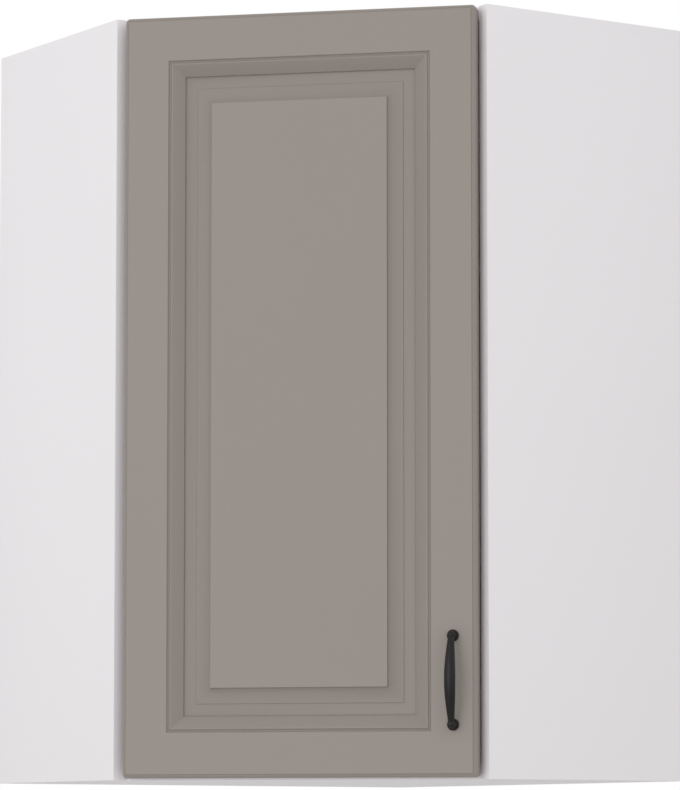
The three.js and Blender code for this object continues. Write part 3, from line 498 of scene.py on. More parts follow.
# %% [markdown]
# ## Small helpers for meshes
# Every finished piece is a plain mesh whose object sits at the origin. Flat shading would show the
# facets of a round, and smooth shading would smear a sharp edge, so each edge is marked sharp or
# smooth by the angle between its two faces. A piece then rides on the carcass or on the door, and
# stands in for its CAD solids.

# %% Finishing and placing a mesh
SHARP = math.radians(32)


def soften(mesh, sharp=SHARP):
    """Smooth faces, with the edges that really are edges kept sharp."""
    work = bmesh.new()
    work.from_mesh(mesh)
    for face in work.faces:
        face.smooth = True
    for edge in work.edges:
        edge.smooth = len(edge.link_faces) == 2 and edge.calc_face_angle(0) < sharp
    work.to_mesh(mesh)
    work.free()


def give_finish(mesh, *finishes):
    """Gives a mesh these finishes and no others."""
    mesh.materials.clear()
    for finish in finishes:
        mesh.materials.append(finish)


def place_piece(name, mesh, body, slot, *replaced):
    """Puts a finished mesh in the scene, on its body and in place of its CAD nodes."""
    mesh.name = name
    piece = add_object(name, mesh)
    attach(piece, body)
    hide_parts(*replaced)


print("edges over", round(math.degrees(SHARP)), "degrees stay sharp")

# %% [markdown]
# A boolean is the surest way to drill a hole or to fuse two shapes. Where its cut runs along an old
# edge it can leave slivers with no area, so those are closed at once.

# %% Plain meshes and booleans
SLIVER = 2e-6  # metres


def plain_mesh(work, name):
    """Turns a mesh under construction into a plain one."""
    mesh = bpy.data.meshes.new(name)
    work.to_mesh(mesh)
    work.free()
    return mesh


def evaluated_mesh(thing):
    """What an object's modifiers make of it, as a plain mesh."""
    graph = bpy.context.evaluated_depsgraph_get()
    return bpy.data.meshes.new_from_object(thing.evaluated_get(graph))


def remove_object(thing):
    bpy.data.objects.remove(thing, do_unlink=True)


def boolean(base, tool, operation):
    """The exact union or difference of two meshes, as a new mesh."""
    base_object = add_object("boolean_base", base)
    tool_object = add_object("boolean_tool", tool)
    modifier = base_object.modifiers.new("boolean", "BOOLEAN")
    modifier.operation = operation
    modifier.solver = "EXACT"
    modifier.object = tool_object
    made = evaluated_mesh(base_object)
    remove_object(base_object)
    remove_object(tool_object)
    work = bmesh.new()
    work.from_mesh(made)
    bmesh.ops.dissolve_degenerate(work, dist=SLIVER, edges=work.edges)
    work.to_mesh(made)
    work.free()
    return made


print("edges under", SLIVER, "m are closed after a boolean")

# %% [markdown]
# Feet, screws, pins and drilled holes are all turned shapes, as from a lathe. One function sweeps a
# profile round an axis, and it meets the axis in a single point at both ends, so that no pole is open.

# %% Turned shapes
def lathe(profile, start, direction, sides=48):
    """A turned shape: (radius, height) pairs in millimetres round an axis, both ends on the axis."""
    work = bmesh.new()
    turn = direction.to_track_quat("Z", "Y").to_matrix()
    rings = []
    for radius, height in profile:
        if radius <= 0:
            rings.append([work.verts.new(start + turn @ Vector((0, 0, height * MM)))])
            continue
        ring = []
        for i in range(sides):
            angle = FULL_TURN * i / sides
            local = Vector((radius * math.cos(angle), radius * math.sin(angle), height)) * MM
            ring.append(work.verts.new(start + turn @ local))
        rings.append(ring)
    for low, high in zip(rings, rings[1:]):
        for i in range(sides):
            corners = [low[i % len(low)], low[(i + 1) % len(low)]]
            corners += [high[(i + 1) % len(high)], high[i % len(high)]]
            work.faces.new(list(dict.fromkeys(corners)))
    bmesh.ops.recalc_face_normals(work, faces=work.faces)
    return plain_mesh(work, "turned")


def merged(*meshes):
    """Several meshes as one, without joining their skins."""
    work = bmesh.new()
    for mesh in meshes:
        work.from_mesh(mesh)
    return plain_mesh(work, "merged")


print("lathe and merge are ready")

# %% [markdown]
# ## A sheet of nodes that follows a rule
# Two pieces of this cabinet follow a rule exactly: the routed door, whose section is the same all the
# way round, and the handle's grip, whose section swells and thins along a bow. Both are a grid of
# points whose row and column say where each point belongs. Geometry Nodes make that grid and move it.

# %% Starting, ending and running a geometry tree
def new_tree(name, sizes, others):
    """A geometry tree with named inputs: the sizes are numbers, and each of the others has its kind.

    Returns the tree, its first wire and its inputs as wires.
    """
    tree = bpy.data.node_groups.new(name, "GeometryNodeTree")
    tree.interface.new_socket("Geometry", in_out="INPUT", socket_type="NodeSocketGeometry")
    tree.interface.new_socket("Geometry", in_out="OUTPUT", socket_type="NodeSocketGeometry")
    for label, kind in (dict.fromkeys(sizes, "Float") | others).items():
        tree.interface.new_socket(label, in_out="INPUT", socket_type="NodeSocket" + kind)
    group_in = tree.nodes.new("NodeGroupInput")
    wires = {socket.name: Wire(tree, socket) for socket in group_in.outputs if socket.name}
    return tree, Wire(tree), wires


def end_tree(geometry, material):
    """Every tree ends the same way: real geometry, its finish, and the group's output."""
    real = geometry.make("GeometryNodeRealizeInstances", sockets={0: geometry})
    painted = real.make("GeometryNodeSetMaterial", sockets={"Geometry": real, "Material": material})
    geometry.make("NodeGroupOutput", sockets={0: painted})


def grow(tree, values, source):
    """Runs a tree on a mesh and returns what it makes as a plain mesh."""
    host = add_object(tree.name, source)
    modifier = host.modifiers.new(tree.name, "NODES")
    modifier.node_group = tree
    for item in tree.interface.items_tree:
        if item.in_out == "INPUT" and item.name in values:
            modifier[item.identifier] = values[item.name]
    made = evaluated_mesh(host)
    host.modifiers.remove(modifier)
    remove_object(host)
    return made


print("trees can be started, ended and run")

# %% A ruled grid in Geometry Nodes
SAME_PLACE = 1e-6  # metres


def ruled_grid(start, columns, rows):
    """A flat grid, with each point's column and row as whole numbers."""
    sockets = {"Vertices X": columns, "Vertices Y": rows, "Size X": columns - 1, "Size Y": rows - 1}
    grid = start.make("GeometryNodeMeshGrid", sockets=sockets)
    x, y = start.make("GeometryNodeInputPosition").parts()[:2]
    column = x + (columns - 1) / 2
    row = y + (rows - 1) / 2
    return grid, column.maths("ROUND"), row.maths("ROUND")


def door_vector(start, along, inward, up):
    """A place given by three wires along the door's directions."""
    sockets = {0: (along - inward) * math.sqrt(0.5), 1: (along + inward) * math.sqrt(0.5), 2: up}
    return start.make("ShaderNodeCombineXYZ", sockets=sockets)


def end_grid(grid, where, material):
    """Moves a grid's points to their places, joins those that meet there, and ends the tree."""
    moved = grid.make("GeometryNodeSetPosition", sockets={"Geometry": grid, "Position": where})
    sockets = {"Geometry": moved, "Distance": SAME_PLACE}
    end_tree(moved.make("GeometryNodeMergeByDistance", sockets=sockets), material)


print("points of a grid within", SAME_PLACE, "m are joined")

# %% [markdown]
# ## The routed door
# On the real door a router runs round the face with a shaped bit, and the corners come out as mitres.
# So the door is a set of rectangles, each a little further in and at its own depth. The section below
# is that list of steps: a rounded outer edge with a small quirk, the flat border, a narrow vein, a
# moulding that rolls down to a flat recess, a hollow bevel that climbs again, and the raised field.
# The skin can't follow a sharp inside corner, so a small fillet bridges the moulding's foot.

# %% The door's section at its edge, in millimetres from the outline and from the face
EDGE_ROUND = 3.4
EDGE_SINK = 0.75
EDGE_STEPS = 8
BACK_EASE = 0.1
QUIRK = [(3.7, 0.9), (4.05, 0.85), (4.25, 0.2), (4.5, 0)]


def edge_section():
    """From the back of the door round its edge to the flat border."""
    points = [(BACK_EASE, DOOR_THICKNESS), (0, DOOR_THICKNESS - BACK_EASE), (0, DOOR_THICKNESS / 2)]
    for k in range(EDGE_STEPS + 1):
        angle = k / EDGE_STEPS * QUARTER_TURN
        inset = EDGE_ROUND * (1 - math.cos(angle))
        points.append((inset, EDGE_SINK + EDGE_ROUND * (1 - math.sin(angle))))
    return points + QUIRK


section = edge_section()
print("the edge's section has", len(section), "steps")

# %% The door's section through its mouldings
BORDER = 52.2
VEIN = [
    (0.2, 0), (0.5, 0.15), (0.9, 0.75), (1.4, 1.4), (2.2, 1.75), (3.0, 1.55), (3.5, 1.1),
    (4.0, 0.55), (4.5, 0.3), (5.0, 0.25), (5.5, 0.45),
]
OVOLO_WIDTH = 13.7
OVOLO_DROP = 6.9
OVOLO_CURVE = 1.12
RECESS_DEPTH = 10
RECESS_WIDTH = 14
FOOT_FILLET = [(0, 1.1), (0.2, 0.55), (0.55, 0.2), (1.1, 0)]
BEVEL_QUIRK = 0.8
BEVEL_WIDTH = 17.6
BEVEL_TOP = 5.6
BEVEL_CURVE = 2.2
FIELD_DEPTH = 2.8
FIELD_EASE = 0.25
STEP_RUN = 0.4
CURVE_STEPS = 14


def routed_section():
    """From the flat border through the mouldings to the raised field."""
    points = [(BORDER, 0)] + [(BORDER + a, b) for a, b in VEIN]
    start, lip = points[-1]
    for k in range(1, CURVE_STEPS + 1):
        t = k / CURVE_STEPS
        points.append((start + OVOLO_WIDTH * t, lip + OVOLO_DROP * t**OVOLO_CURVE))
    foot = start + OVOLO_WIDTH + STEP_RUN
    points += [(foot + run, RECESS_DEPTH - rise) for run, rise in FOOT_FILLET]
    points.append((foot + RECESS_WIDTH, RECESS_DEPTH))
    bevel = foot + RECESS_WIDTH + STEP_RUN
    low = RECESS_DEPTH - BEVEL_QUIRK
    points.append((bevel, low))
    for k in range(1, CURVE_STEPS + 1):
        t = k / CURVE_STEPS
        points.append((bevel + BEVEL_WIDTH * t, low - (low - BEVEL_TOP) * t**BEVEL_CURVE))
    top = bevel + BEVEL_WIDTH + STEP_RUN
    return points + [(top, FIELD_DEPTH + FIELD_EASE), (top + FIELD_EASE, FIELD_DEPTH)]


section += routed_section()
print("the whole section has", len(section), "steps, innermost", section[-1])

# %% [markdown]
# The tree reads the section from a small mesh that holds one point for each step. Each column of the
# grid is a place round the door, and each row a step of the section. Where the outline's corner is
# rounded, nine columns share one corner; further in, the radius runs out and they fall together. The
# free edge stands a little further out than the CAD solid's, which leaves the thin dark slit that a
# closed door shows. The hinge edge doesn't, because it needs its room to swing.

# %% The tree that routes the door
CORNER_STEPS = 8
CORNER_RADIUS = 5
FREE_EDGE = 1.4


def routed_tree(rows):
    sizes = ["Width", "Height", "Corner Radius", "Face", "Middle", "Edge Width", "Free Edge"]
    tree, start, given = new_tree("routed_door", sizes, {"Finish": "Material"})
    per_corner = CORNER_STEPS + 1
    grid, column, row = ruled_grid(start, 4 * per_corner + 1, rows)
    corner = (column / per_corner).maths("FLOOR")
    step = column - corner * per_corner
    angle = (corner + step / CORNER_STEPS) * QUARTER_TURN
    diagonal = (corner + 0.5) * QUARTER_TURN
    side = diagonal.maths("COSINE").maths("SIGN")
    end = diagonal.maths("SINE").maths("SIGN")
    sample = start.make(
        "GeometryNodeSampleIndex",
        {"data_type": "FLOAT_VECTOR", "domain": "POINT"},
        {"Geometry": given["Geometry"], "Value": start.make("GeometryNodeInputPosition"), "Index": row},
    )
    inset, depth = sample.parts()[:2]
    radius = (given["Corner Radius"] - inset).maths("MAXIMUM", 0)
    rim = (1 - inset / given["Edge Width"]).maths("MAXIMUM", 0)
    across = side * (given["Width"] / 2 - inset - radius) + radius * angle.maths("COSINE")
    across = across + given["Free Edge"] * rim * (side > 0)
    upward = end * (given["Height"] / 2 - inset - radius) + radius * angle.maths("SINE")
    where = door_vector(start, across, given["Face"] + depth, given["Middle"] + upward)
    end_grid(grid, where, given["Finish"])
    return tree


def route_door():
    points = bpy.data.meshes.new("door_section")
    points.from_pydata([(inset * MM, depth * MM, 0) for inset, depth in section], [], [])
    sizes = {
        "Width": DOOR_WIDTH, "Height": DOOR_HEIGHT, "Corner Radius": CORNER_RADIUS, "Face": DOOR_FACE,
        "Middle": DOOR_MIDDLE, "Edge Width": QUIRK[-1][0], "Free Edge": FREE_EDGE,
    }
    values = {label: size * MM for label, size in sizes.items()}
    return grow(routed_tree(len(section)), values | {"Finish": door_finish}, points)


door_mesh = route_door()
print("the routed skin has", len(door_mesh.polygons), "faces")

# %% [markdown]
# The skin is still open at the field and at the back. Closing both makes a solid, and then the hinge
# cups' round pockets, their screws' pilot holes and the two handle holes are drilled from behind.

# %% Close the skin
def close_openings(mesh):
    """Fills every open rim with one face, turns all faces outwards and counts the rims."""
    work = bmesh.new()
    work.from_mesh(mesh)
    rims = [edge for edge in work.edges if len(edge.link_faces) == 1]
    filled = bmesh.ops.holes_fill(work, edges=rims, sides=0)["faces"]
    bmesh.ops.recalc_face_normals(work, faces=work.faces)
    work.to_mesh(mesh)
    work.free()
    return len(filled)


closed = close_openings(door_mesh)
print("closed", closed, "openings")

# %% Drill the door
CUP_ALONG = -DOOR_WIDTH / 2 + 22.5
CUP_SCREW_ALONG = CUP_ALONG + 5.5
CUP_HEIGHTS = (102, 798)
CUP_SCREW_PITCH = 24
CUP_BORE_RADIUS = 17.7
CUP_BORE_DEPTH = 12.6
PILOT_RADIUS = 1.9
PILOT_DEPTH = 11
HANDLE_ALONG = DOOR_WIDTH / 2 - 27
HANDLE_HEIGHTS = (62, 164)
HANDLE_HOLE_RADIUS = 2.3
OVERCUT = 2
BOTH_WAYS = (-1, 1)


def drill(along, height, radius, depth, sides):
    profile = [(0, 0), (radius, 0), (radius, depth + OVERCUT), (0, depth + OVERCUT)]
    return lathe(profile, at_door(along, DOOR_BACK + OVERCUT, height), -INWARD, sides)


drills = [drill(CUP_ALONG, z, CUP_BORE_RADIUS, CUP_BORE_DEPTH, 64) for z in CUP_HEIGHTS]
for z in CUP_HEIGHTS:
    for way in BOTH_WAYS:
        drills.append(drill(CUP_SCREW_ALONG, z + way * CUP_SCREW_PITCH, PILOT_RADIUS, PILOT_DEPTH, 16))
for z in HANDLE_HEIGHTS:
    drills.append(drill(HANDLE_ALONG, z, HANDLE_HOLE_RADIUS, DOOR_THICKNESS + OVERCUT, 24))
door_mesh = boolean(door_mesh, merged(*drills), "DIFFERENCE")
print("drilled", len(drills), "holes; the door has", len(door_mesh.polygons), "faces")

# %% Cover and place the door
DOOR_SHARP = math.radians(24)
NEAR_BACK = 0.05  # millimetres: faces this near to the back's plane are the white back

give_finish(door_mesh, door_finish, door_back_finish)
for face in door_mesh.polygons:
    face.material_index = int(face.center.dot(INWARD) > (DOOR_BACK - NEAR_BACK) * MM)
soften(door_mesh, DOOR_SHARP)
place_piece("routed_door", door_mesh, "door_leaf", "door_paint", "door")
print("white faces at the back:", sum(face.material_index for face in door_mesh.polygons))

# %% [markdown]
# ## The handle
# A small cast bow: a round rosette on the door at each end, a short neck with a domed top, and a grip
# that bows out and swells to twice its end width in the middle. The grip follows a rule along its
# length, so it is a ruled grid too. The casting is one piece, so grip and feet are then fused, and a
# fine remesh rounds the joints as sand casting does.

# %% The handle's grip in Geometry Nodes
HANDLE_PITCH = HANDLE_HEIGHTS[1] - HANDLE_HEIGHTS[0]
HANDLE_MIDDLE = sum(HANDLE_HEIGHTS) / 2
GRIP_SIZES = {
    "Pitch": HANDLE_PITCH, "Standoff": 22.5, "End Standoff": 12.5,
    "Width": 13.3, "End Width": 6.6, "Thickness": 8.4, "End Thickness": 6.6,
}
GRIP_RINGS = 64
GRIP_SIDES = 32


def grip_tree():
    tree, start, given = new_tree("bow_grip", GRIP_SIZES, {"Finish": "Material"})
    grid, column, row = ruled_grid(start, GRIP_SIDES + 1, GRIP_RINGS + 1)
    t = row * (2 / GRIP_RINGS) - 1
    swell = (t * QUARTER_TURN).maths("COSINE").maths("MAXIMUM", 0)

    def swelling(end, middle):
        """A size that grows from its end value to its middle value."""
        return given[end] + (given[middle] - given[end]) * swell

    angle = column * (FULL_TURN / GRIP_SIDES)
    across = angle.maths("COSINE") * swelling("End Width", "Width") / 2
    out = angle.maths("SINE") * swelling("End Thickness", "Thickness") / 2
    lean = out * t * t * t / 2
    up = t * given["Pitch"] / 2 - lean
    inward = DOOR_FACE * MM - swelling("End Standoff", "Standoff") - out
    where = door_vector(start, across + HANDLE_ALONG * MM, inward, up + HANDLE_MIDDLE * MM)
    end_grid(grid, where, given["Finish"])
    return tree


grip_values = {label: size * MM for label, size in GRIP_SIZES.items()}
grip_mesh = grow(grip_tree(), grip_values | {"Finish": iron_finish}, bpy.data.meshes.new("grip_seed"))
close_openings(grip_mesh)
print("the grip has", len(grip_mesh.polygons), "faces")

# %% Feet, fusing and rounding
FOOT_SECTION = [
    (0, 0.02), (6.7, 0.02), (7.0, 0.4), (7.0, 1.4), (6.8, 2.2), (6.0, 3.2), (5.1, 4.4), (4.5, 6),
    (4.2, 8), (4.1, 12), (4.0, 13.6), (3.6, 15), (2.7, 16), (1.4, 16.5), (0, 16.6),
]
HOLE_SECTION = [(0, -1), (HANDLE_HOLE_RADIUS, -1), (HANDLE_HOLE_RADIUS, 9), (0, 9)]
REMESH_STEP = 0.00035
SMOOTHING_ROUNDS = 6
CASTING_SHARP = math.radians(50)


def at_feet(profile, sides):
    """A turned shape at each end of the handle, out of the door's face."""
    starts = [at_door(HANDLE_ALONG, DOOR_FACE, z) for z in HANDLE_HEIGHTS]
    return [lathe(profile, start, -INWARD, sides) for start in starts]


def cast_handle():
    whole = grip_mesh
    for foot in at_feet(FOOT_SECTION, 48):
        whole = boolean(whole, foot, "UNION")
    host = add_object("casting", whole)
    remesh = host.modifiers.new("remesh", "REMESH")
    remesh.mode = "VOXEL"
    remesh.voxel_size = REMESH_STEP
    smooth = host.modifiers.new("smooth", "SMOOTH")
    smooth.factor = 0.5
    smooth.iterations = SMOOTHING_ROUNDS
    made = evaluated_mesh(host)
    remove_object(host)
    return boolean(made, merged(*at_feet(HOLE_SECTION, 24)), "DIFFERENCE")


handle_mesh = cast_handle()
give_finish(handle_mesh, iron_finish)
soften(handle_mesh, CASTING_SHARP)
place_piece("cast_handle", handle_mesh, "door_leaf", "handle_iron", "handle")
print("the handle has", len(handle_mesh.polygons), "faces")

# %% [markdown]
# ## Boards with eased edges
# No board edge is a perfect corner: the banding machine rounds it by a fraction of a millimetre, and
# that small round catches the light. Each board is a copy of its CAD solid with its loose triangles
# merged, its flat faces cleared of cuts, and its long outer edges eased.

# %% Eased copies of CAD solids
FLAT = math.radians(0.6)
CORNER = math.radians(40)
EASE_STEPS = 3


def eased_copy(node, ease, shortest, material):
    """A merged copy of a CAD node whose edges longer than 'shortest' are rounded by 'ease'."""
    work = bmesh.new()
    work.from_mesh(nodes[node].data)
    bmesh.ops.remove_doubles(work, verts=work.verts, dist=SLIVER)
    bmesh.ops.dissolve_limit(work, angle_limit=FLAT, verts=work.verts, edges=work.edges)
    edges = [
        edge
        for edge in work.edges
        if len(edge.link_faces) == 2
        and edge.calc_face_angle_signed(0) > CORNER
        and edge.calc_length() > shortest * MM
    ]
    if ease:
        bmesh.ops.bevel(work, geom=edges, offset=ease * MM, segments=EASE_STEPS, profile=0.5,
                        affect="EDGES", clamp_overlap=True)
    mesh = plain_mesh(work, node)
    give_finish(mesh, material)
    soften(mesh)
    return mesh


print("an eased edge has", EASE_STEPS, "steps")

# %% Boards and backs
BOARD_EASE = 0.3
SHORTEST_BOARD_EDGE = 12
BOARDS = (
    "left_side_panel", "right_side_panel", "bottom_panel", "top_panel", "lower_shelf",
    "upper_shelf", "corner_post",
)
for node in BOARDS:
    finish = side_finish if "side" in node else board_finish
    mesh = eased_copy(node, BOARD_EASE, SHORTEST_BOARD_EDGE, finish)
    place_piece("eased_" + node, mesh, "carcass", "panel_board", node)
    print(node, len(mesh.polygons), "faces")
for node in ("left_back_board", "right_back_board"):
    mesh = eased_copy(node, 0, SHORTEST_BOARD_EDGE, back_finish)
    place_piece("lacquered_" + node, mesh, "carcass", "back_board", node)
    print(node, len(mesh.polygons), "faces")

# %% [markdown]
# ## Hinges and hangers
# These come from the CAD solids in the same way, with finer easing: a pressed steel arm has soft
# edges, a moulded case rounder ones. The hinge pins are plain rods, so their solids only get a finish.

# %% Small hardware from CAD solids
LEVELS = ("lower", "upper")

# solid, body, slot, finish, easing, shortest edge that is eased
HARDWARE = [
    ("hinge_cup", "door_leaf", "hinge_nickel", hinge_finish, 0.25, 5),
    ("hinge_arm", "carcass", "hinge_nickel", hinge_finish, 0.4, 5),
    ("hinge_plate", "carcass", "hinge_nickel", hinge_finish, 0.4, 5),
]
for kind, body, slot, material, ease, shortest in HARDWARE:
    for level_name in LEVELS:
        node = f"{level_name}_{kind}"
        mesh = eased_copy(node, ease, shortest, material)
        place_piece("finished_" + node, mesh, body, slot, node)
for side_name in ("left", "right"):
    case = side_name + "_hanger_case"
    hook = side_name + "_hanger_hook"
    mesh = eased_copy(case, 0.8, 8, plastic_finish)
    place_piece(side_name + "_hanger_housing", mesh, "carcass", "hanger_plastic", case)
    mesh = eased_copy(hook, 0.4, 3, zinc_finish)
    place_piece(side_name + "_hanger_claw", mesh, "carcass", "hanger_steel", hook)
for level_name in LEVELS:
    nodes[level_name + "_hinge_pin"].material_slots[0].material = screw_finish
print("hardware is in place:", len(HARDWARE) * len(LEVELS), "hinge parts and two hangers")

# %% [markdown]
# ## Fasteners
# A screw, a shelf pin, a connector or a bumper is made once and then put wherever the cabinet has
# one. The tree below takes a cloud of points, each with the direction of its axis, sets the fastener
# on every point, and gives each its own turn, since no two screws stop at the same angle.

# %% The tree that sets fasteners
def fastener_tree():
    others = {"Fastener": "Object", "Seed": "Int", "Finish": "Material"}
    tree, start, given = new_tree("set_fasteners", ["Turn"], others)
    sockets = {"Object": given["Fastener"]}
    as_made = {"transform_space": "ORIGINAL"}
    shape = start.make("GeometryNodeObjectInfo", as_made, sockets, "Geometry")
    sockets = {"Name": "axis"}
    axis = start.make("GeometryNodeInputNamedAttribute", {"data_type": "FLOAT_VECTOR"}, sockets)
    lean = start.make("FunctionNodeAlignRotationToVector", {"axis": "Z"}, {"Vector": axis})
    sockets = {"Min": 0.0, "Max": 1.0, "Seed": given["Seed"]}
    share = start.make("FunctionNodeRandomValue", {"data_type": "FLOAT"}, sockets, 1)
    sockets = {"Axis": (0, 0, 1), "Angle": share * given["Turn"]}
    spin = start.make("FunctionNodeAxisAngleToRotation", sockets=sockets)
    both = start.make("FunctionNodeRotateRotation", {"rotation_space": "LOCAL"}, {0: lean, 1: spin})
    sockets = {"Points": given["Geometry"], "Instance": shape, "Rotation": both}
    end_tree(start.make("GeometryNodeInstanceOnPoints", sockets=sockets), given["Finish"])
    return tree


fasteners = fastener_tree()
print("the fastener tree has", len(fasteners.nodes), "nodes")

# %% Setting one kind of fastener
def set_fasteners(shape, places, seed, material):
    """Puts one shape at every (place, axis) and makes one plain mesh of them."""
    cloud = bpy.data.meshes.new("places")
    cloud.from_pydata([place for place, axis in places], [], [])
    stored = cloud.attributes.new("axis", "FLOAT_VECTOR", "POINT")
    stored.data.foreach_set("vector", [value for place, axis in places for value in axis])
    soften(shape)
    pattern = add_object("pattern", shape)
    values = {"Fastener": pattern, "Turn": FULL_TURN, "Seed": seed, "Finish": material}
    made = grow(fasteners, values, cloud)
    remove_object(pattern)
    give_finish(made, material)
    print("set", len(places), "fasteners,", len(made.polygons), "faces")
    return made


def named(phrase):
    """The CAD nodes whose names contain a phrase."""
    return sorted(name for name in nodes if phrase in name)


print("CAD screws to replace:", len(named("screw")))

# %% [markdown]
# Each pattern stands on the origin with its axis up Z: the part above zero shows, and the shank below
# goes into the board. The cross recess is cut with a tapered plus sign, as a punch would press it.

# %% The punch for a cross recess
PUNCH_TAPER = 0.6


def cross_cutter(reach, half, top, floor):
    """A plus sign that narrows downwards, as the punch that presses a cross recess does."""
    outline = [(reach, -half), (reach, half), (half, half)]
    for quarter in range(3):
        outline += [(-y, x) for x, y in outline[-3:]]
    work = bmesh.new()
    rings = []
    for height, share in ((floor, PUNCH_TAPER), (top, 1.0)):
        corners = [Vector((x * share, y * share, height)) * MM for x, y in outline]
        rings.append([work.verts.new(corner) for corner in corners])
    low, high = rings
    work.faces.new(low[::-1])
    work.faces.new(high)
    for i in range(len(low)):
        after = (i + 1) % len(low)
        work.faces.new((low[i], low[after], high[after], high[i]))
    bmesh.ops.recalc_face_normals(work, faces=work.faces)
    return plain_mesh(work, "cross")


print("a punch's tip is", PUNCH_TAPER, "as wide as its top")

# %% A screw
THREAD_PITCH = 1.2
THREAD_RISE = 0.4
THREAD_ROOT = 0.8  # of the shank's radius
HEAD_RIM = 0.12  # of the head's height
HEAD_STEPS = 6


def screw_pattern(head, height, shank, length):
    """A low round head with a cross recess, and a shank with a thread."""
    thread = length - shank
    root = shank * THREAD_ROOT
    profile = [(0, -length), (shank * 0.25, -thread)]
    turns = int(thread / THREAD_PITCH)
    for i in range(turns):
        z = -length + shank + thread * i / turns
        profile += [(root, z), (shank, z + THREAD_RISE)]
    profile += [(root, -0.2), (root, 0), (head * 0.97, 0), (head, height * HEAD_RIM)]
    for k in range(1, HEAD_STEPS):
        angle = k / HEAD_STEPS * QUARTER_TURN
        radius = head * math.cos(angle) * 0.98 + 0.02
        profile.append((radius, height * (HEAD_RIM + 0.86 * math.sin(angle))))
    profile.append((0, height))
    body = lathe(profile, Vector(), UP, 28)
    cross = cross_cutter(head * 0.6, head * 0.15, height + 0.2, height * 0.2)
    return boolean(body, cross, "DIFFERENCE")


plate_screw = screw_pattern(4, 1.9, 2.3, 12)
print("a hinge plate's screw has", len(plate_screw.polygons), "faces")

# %% Shelf pin, connector and bumper
def pin_pattern():
    """A shelf pin: a short thick nose, a collar's edge, and a thinner shank in the board."""
    profile = [(0, -9), (1.4, -9), (2.3, -8), (2.3, -0.1), (3.0, 0), (3.2, 0.25), (3.2, 8.0)]
    profile += [(3.05, 8.5), (2.6, 8.85), (1.9, 9), (0, 9)]
    return lathe(profile, Vector(), UP, 32)


def cam_pattern():
    """A connector's cam: a round drum with a cross slot and a raised rim."""
    profile = [(0, -12.4), (7.3, -12.4), (7.5, -12.1), (7.5, -0.3), (7.3, 0), (6.3, 0), (6.1, -0.35)]
    profile += [(5.7, -0.35), (5.6, -0.1), (0, -0.1)]
    drum = lathe(profile, Vector(), UP, 40)
    return boolean(drum, cross_cutter(4.6, 0.9, 0.4, -1.5), "DIFFERENCE")


def bolt_pattern():
    """A connector's bolt: a plain rod from the drum into the side panel."""
    profile = [(0, 0), (2.6, 0), (3, 0.4), (3, 24), (2.4, 24.2), (2.4, 25.5), (3, 25.8), (3, 32.4)]
    return lathe(profile + [(2.4, 33), (0, 33)], Vector(), UP, 24)


def bumper_pattern():
    """A door bumper: a soft low dome that is stuck on."""
    profile = [(0, 0), (4.85, 0), (5, 0.15), (4.95, 1.2), (4.75, 2.5), (4.35, 3.7), (3.6, 4.7)]
    return lathe(profile + [(2.5, 5.4), (1.3, 5.72), (0, 5.8)], Vector(), UP, 40)


bumper = bumper_pattern()
print("a door bumper has", len(bumper.polygons), "faces")

# %% Places inside the side panels
PANEL_FACE = 584  # from the room's corner to the inner face of each side panel

# "into left" also points away from the wall behind the right panel, and "into right" from the other
INTO_LEFT = Vector((0, -1, 0))
OUT_OF_LEFT = Vector((0, 1, 0))
INTO_RIGHT = Vector((1, 0, 0))
OUT_OF_RIGHT = Vector((-1, 0, 0))


def left_place(line, lift, z):
    """A place off the left panel's inner face, on a line so far from the wall."""
    return Vector((line, -PANEL_FACE + lift, z)) * MM


def right_place(line, lift, z):
    """The same place off the right panel's inner face."""
    return Vector((PANEL_FACE - lift, -line, z)) * MM


print("panel faces at", left_place(0, 0, 0), "and", right_place(0, 0, 0))

# %% Places of the hinges', handle's and hangers' screws
PLATE_LINE = 249
PLATE_LIFT = 2
PLATE_SCREW_PITCH = 16
ARM_LIFT = 11.4
CLAMP_LINE = PLATE_LINE - 20
SIDE_SCREW_LINE = PLATE_LINE - 2
CUP_RIM = 1.6
HANGER_LINE = 64
HANGER_LIFT = 9
HANGER_HEIGHT = 859
BUMPER_ALONG = DOOR_WIDTH / 2 - 30
BUMPER_HEIGHTS = (8, 892)

plate_places = []
cup_places = []
for z in CUP_HEIGHTS:
    for way in BOTH_WAYS:
        where = left_place(PLATE_LINE, PLATE_LIFT, z + way * PLATE_SCREW_PITCH)
        plate_places.append((where, OUT_OF_LEFT))
        where = at_door(CUP_SCREW_ALONG, DOOR_BACK + CUP_RIM, z + way * CUP_SCREW_PITCH)
        cup_places.append((where, INWARD))
arm_clamp_places = [(left_place(CLAMP_LINE, ARM_LIFT, z), OUT_OF_LEFT) for z in CUP_HEIGHTS]
arm_side_places = [(left_place(SIDE_SCREW_LINE, ARM_LIFT, z), OUT_OF_LEFT) for z in CUP_HEIGHTS]
handle_places = [(at_door(HANDLE_ALONG, DOOR_BACK + 0.3, z), INWARD) for z in HANDLE_HEIGHTS]
hook_places = [
    (right_place(HANGER_LINE, HANGER_LIFT, HANGER_HEIGHT), INTO_LEFT),
    (left_place(HANGER_LINE, HANGER_LIFT, HANGER_HEIGHT), INTO_RIGHT),
]
bumper_places = [(at_door(BUMPER_ALONG, DOOR_BACK + 0.02, z), INWARD) for z in BUMPER_HEIGHTS]
print("places for", len(plate_places) + len(cup_places), "plate and cup screws")

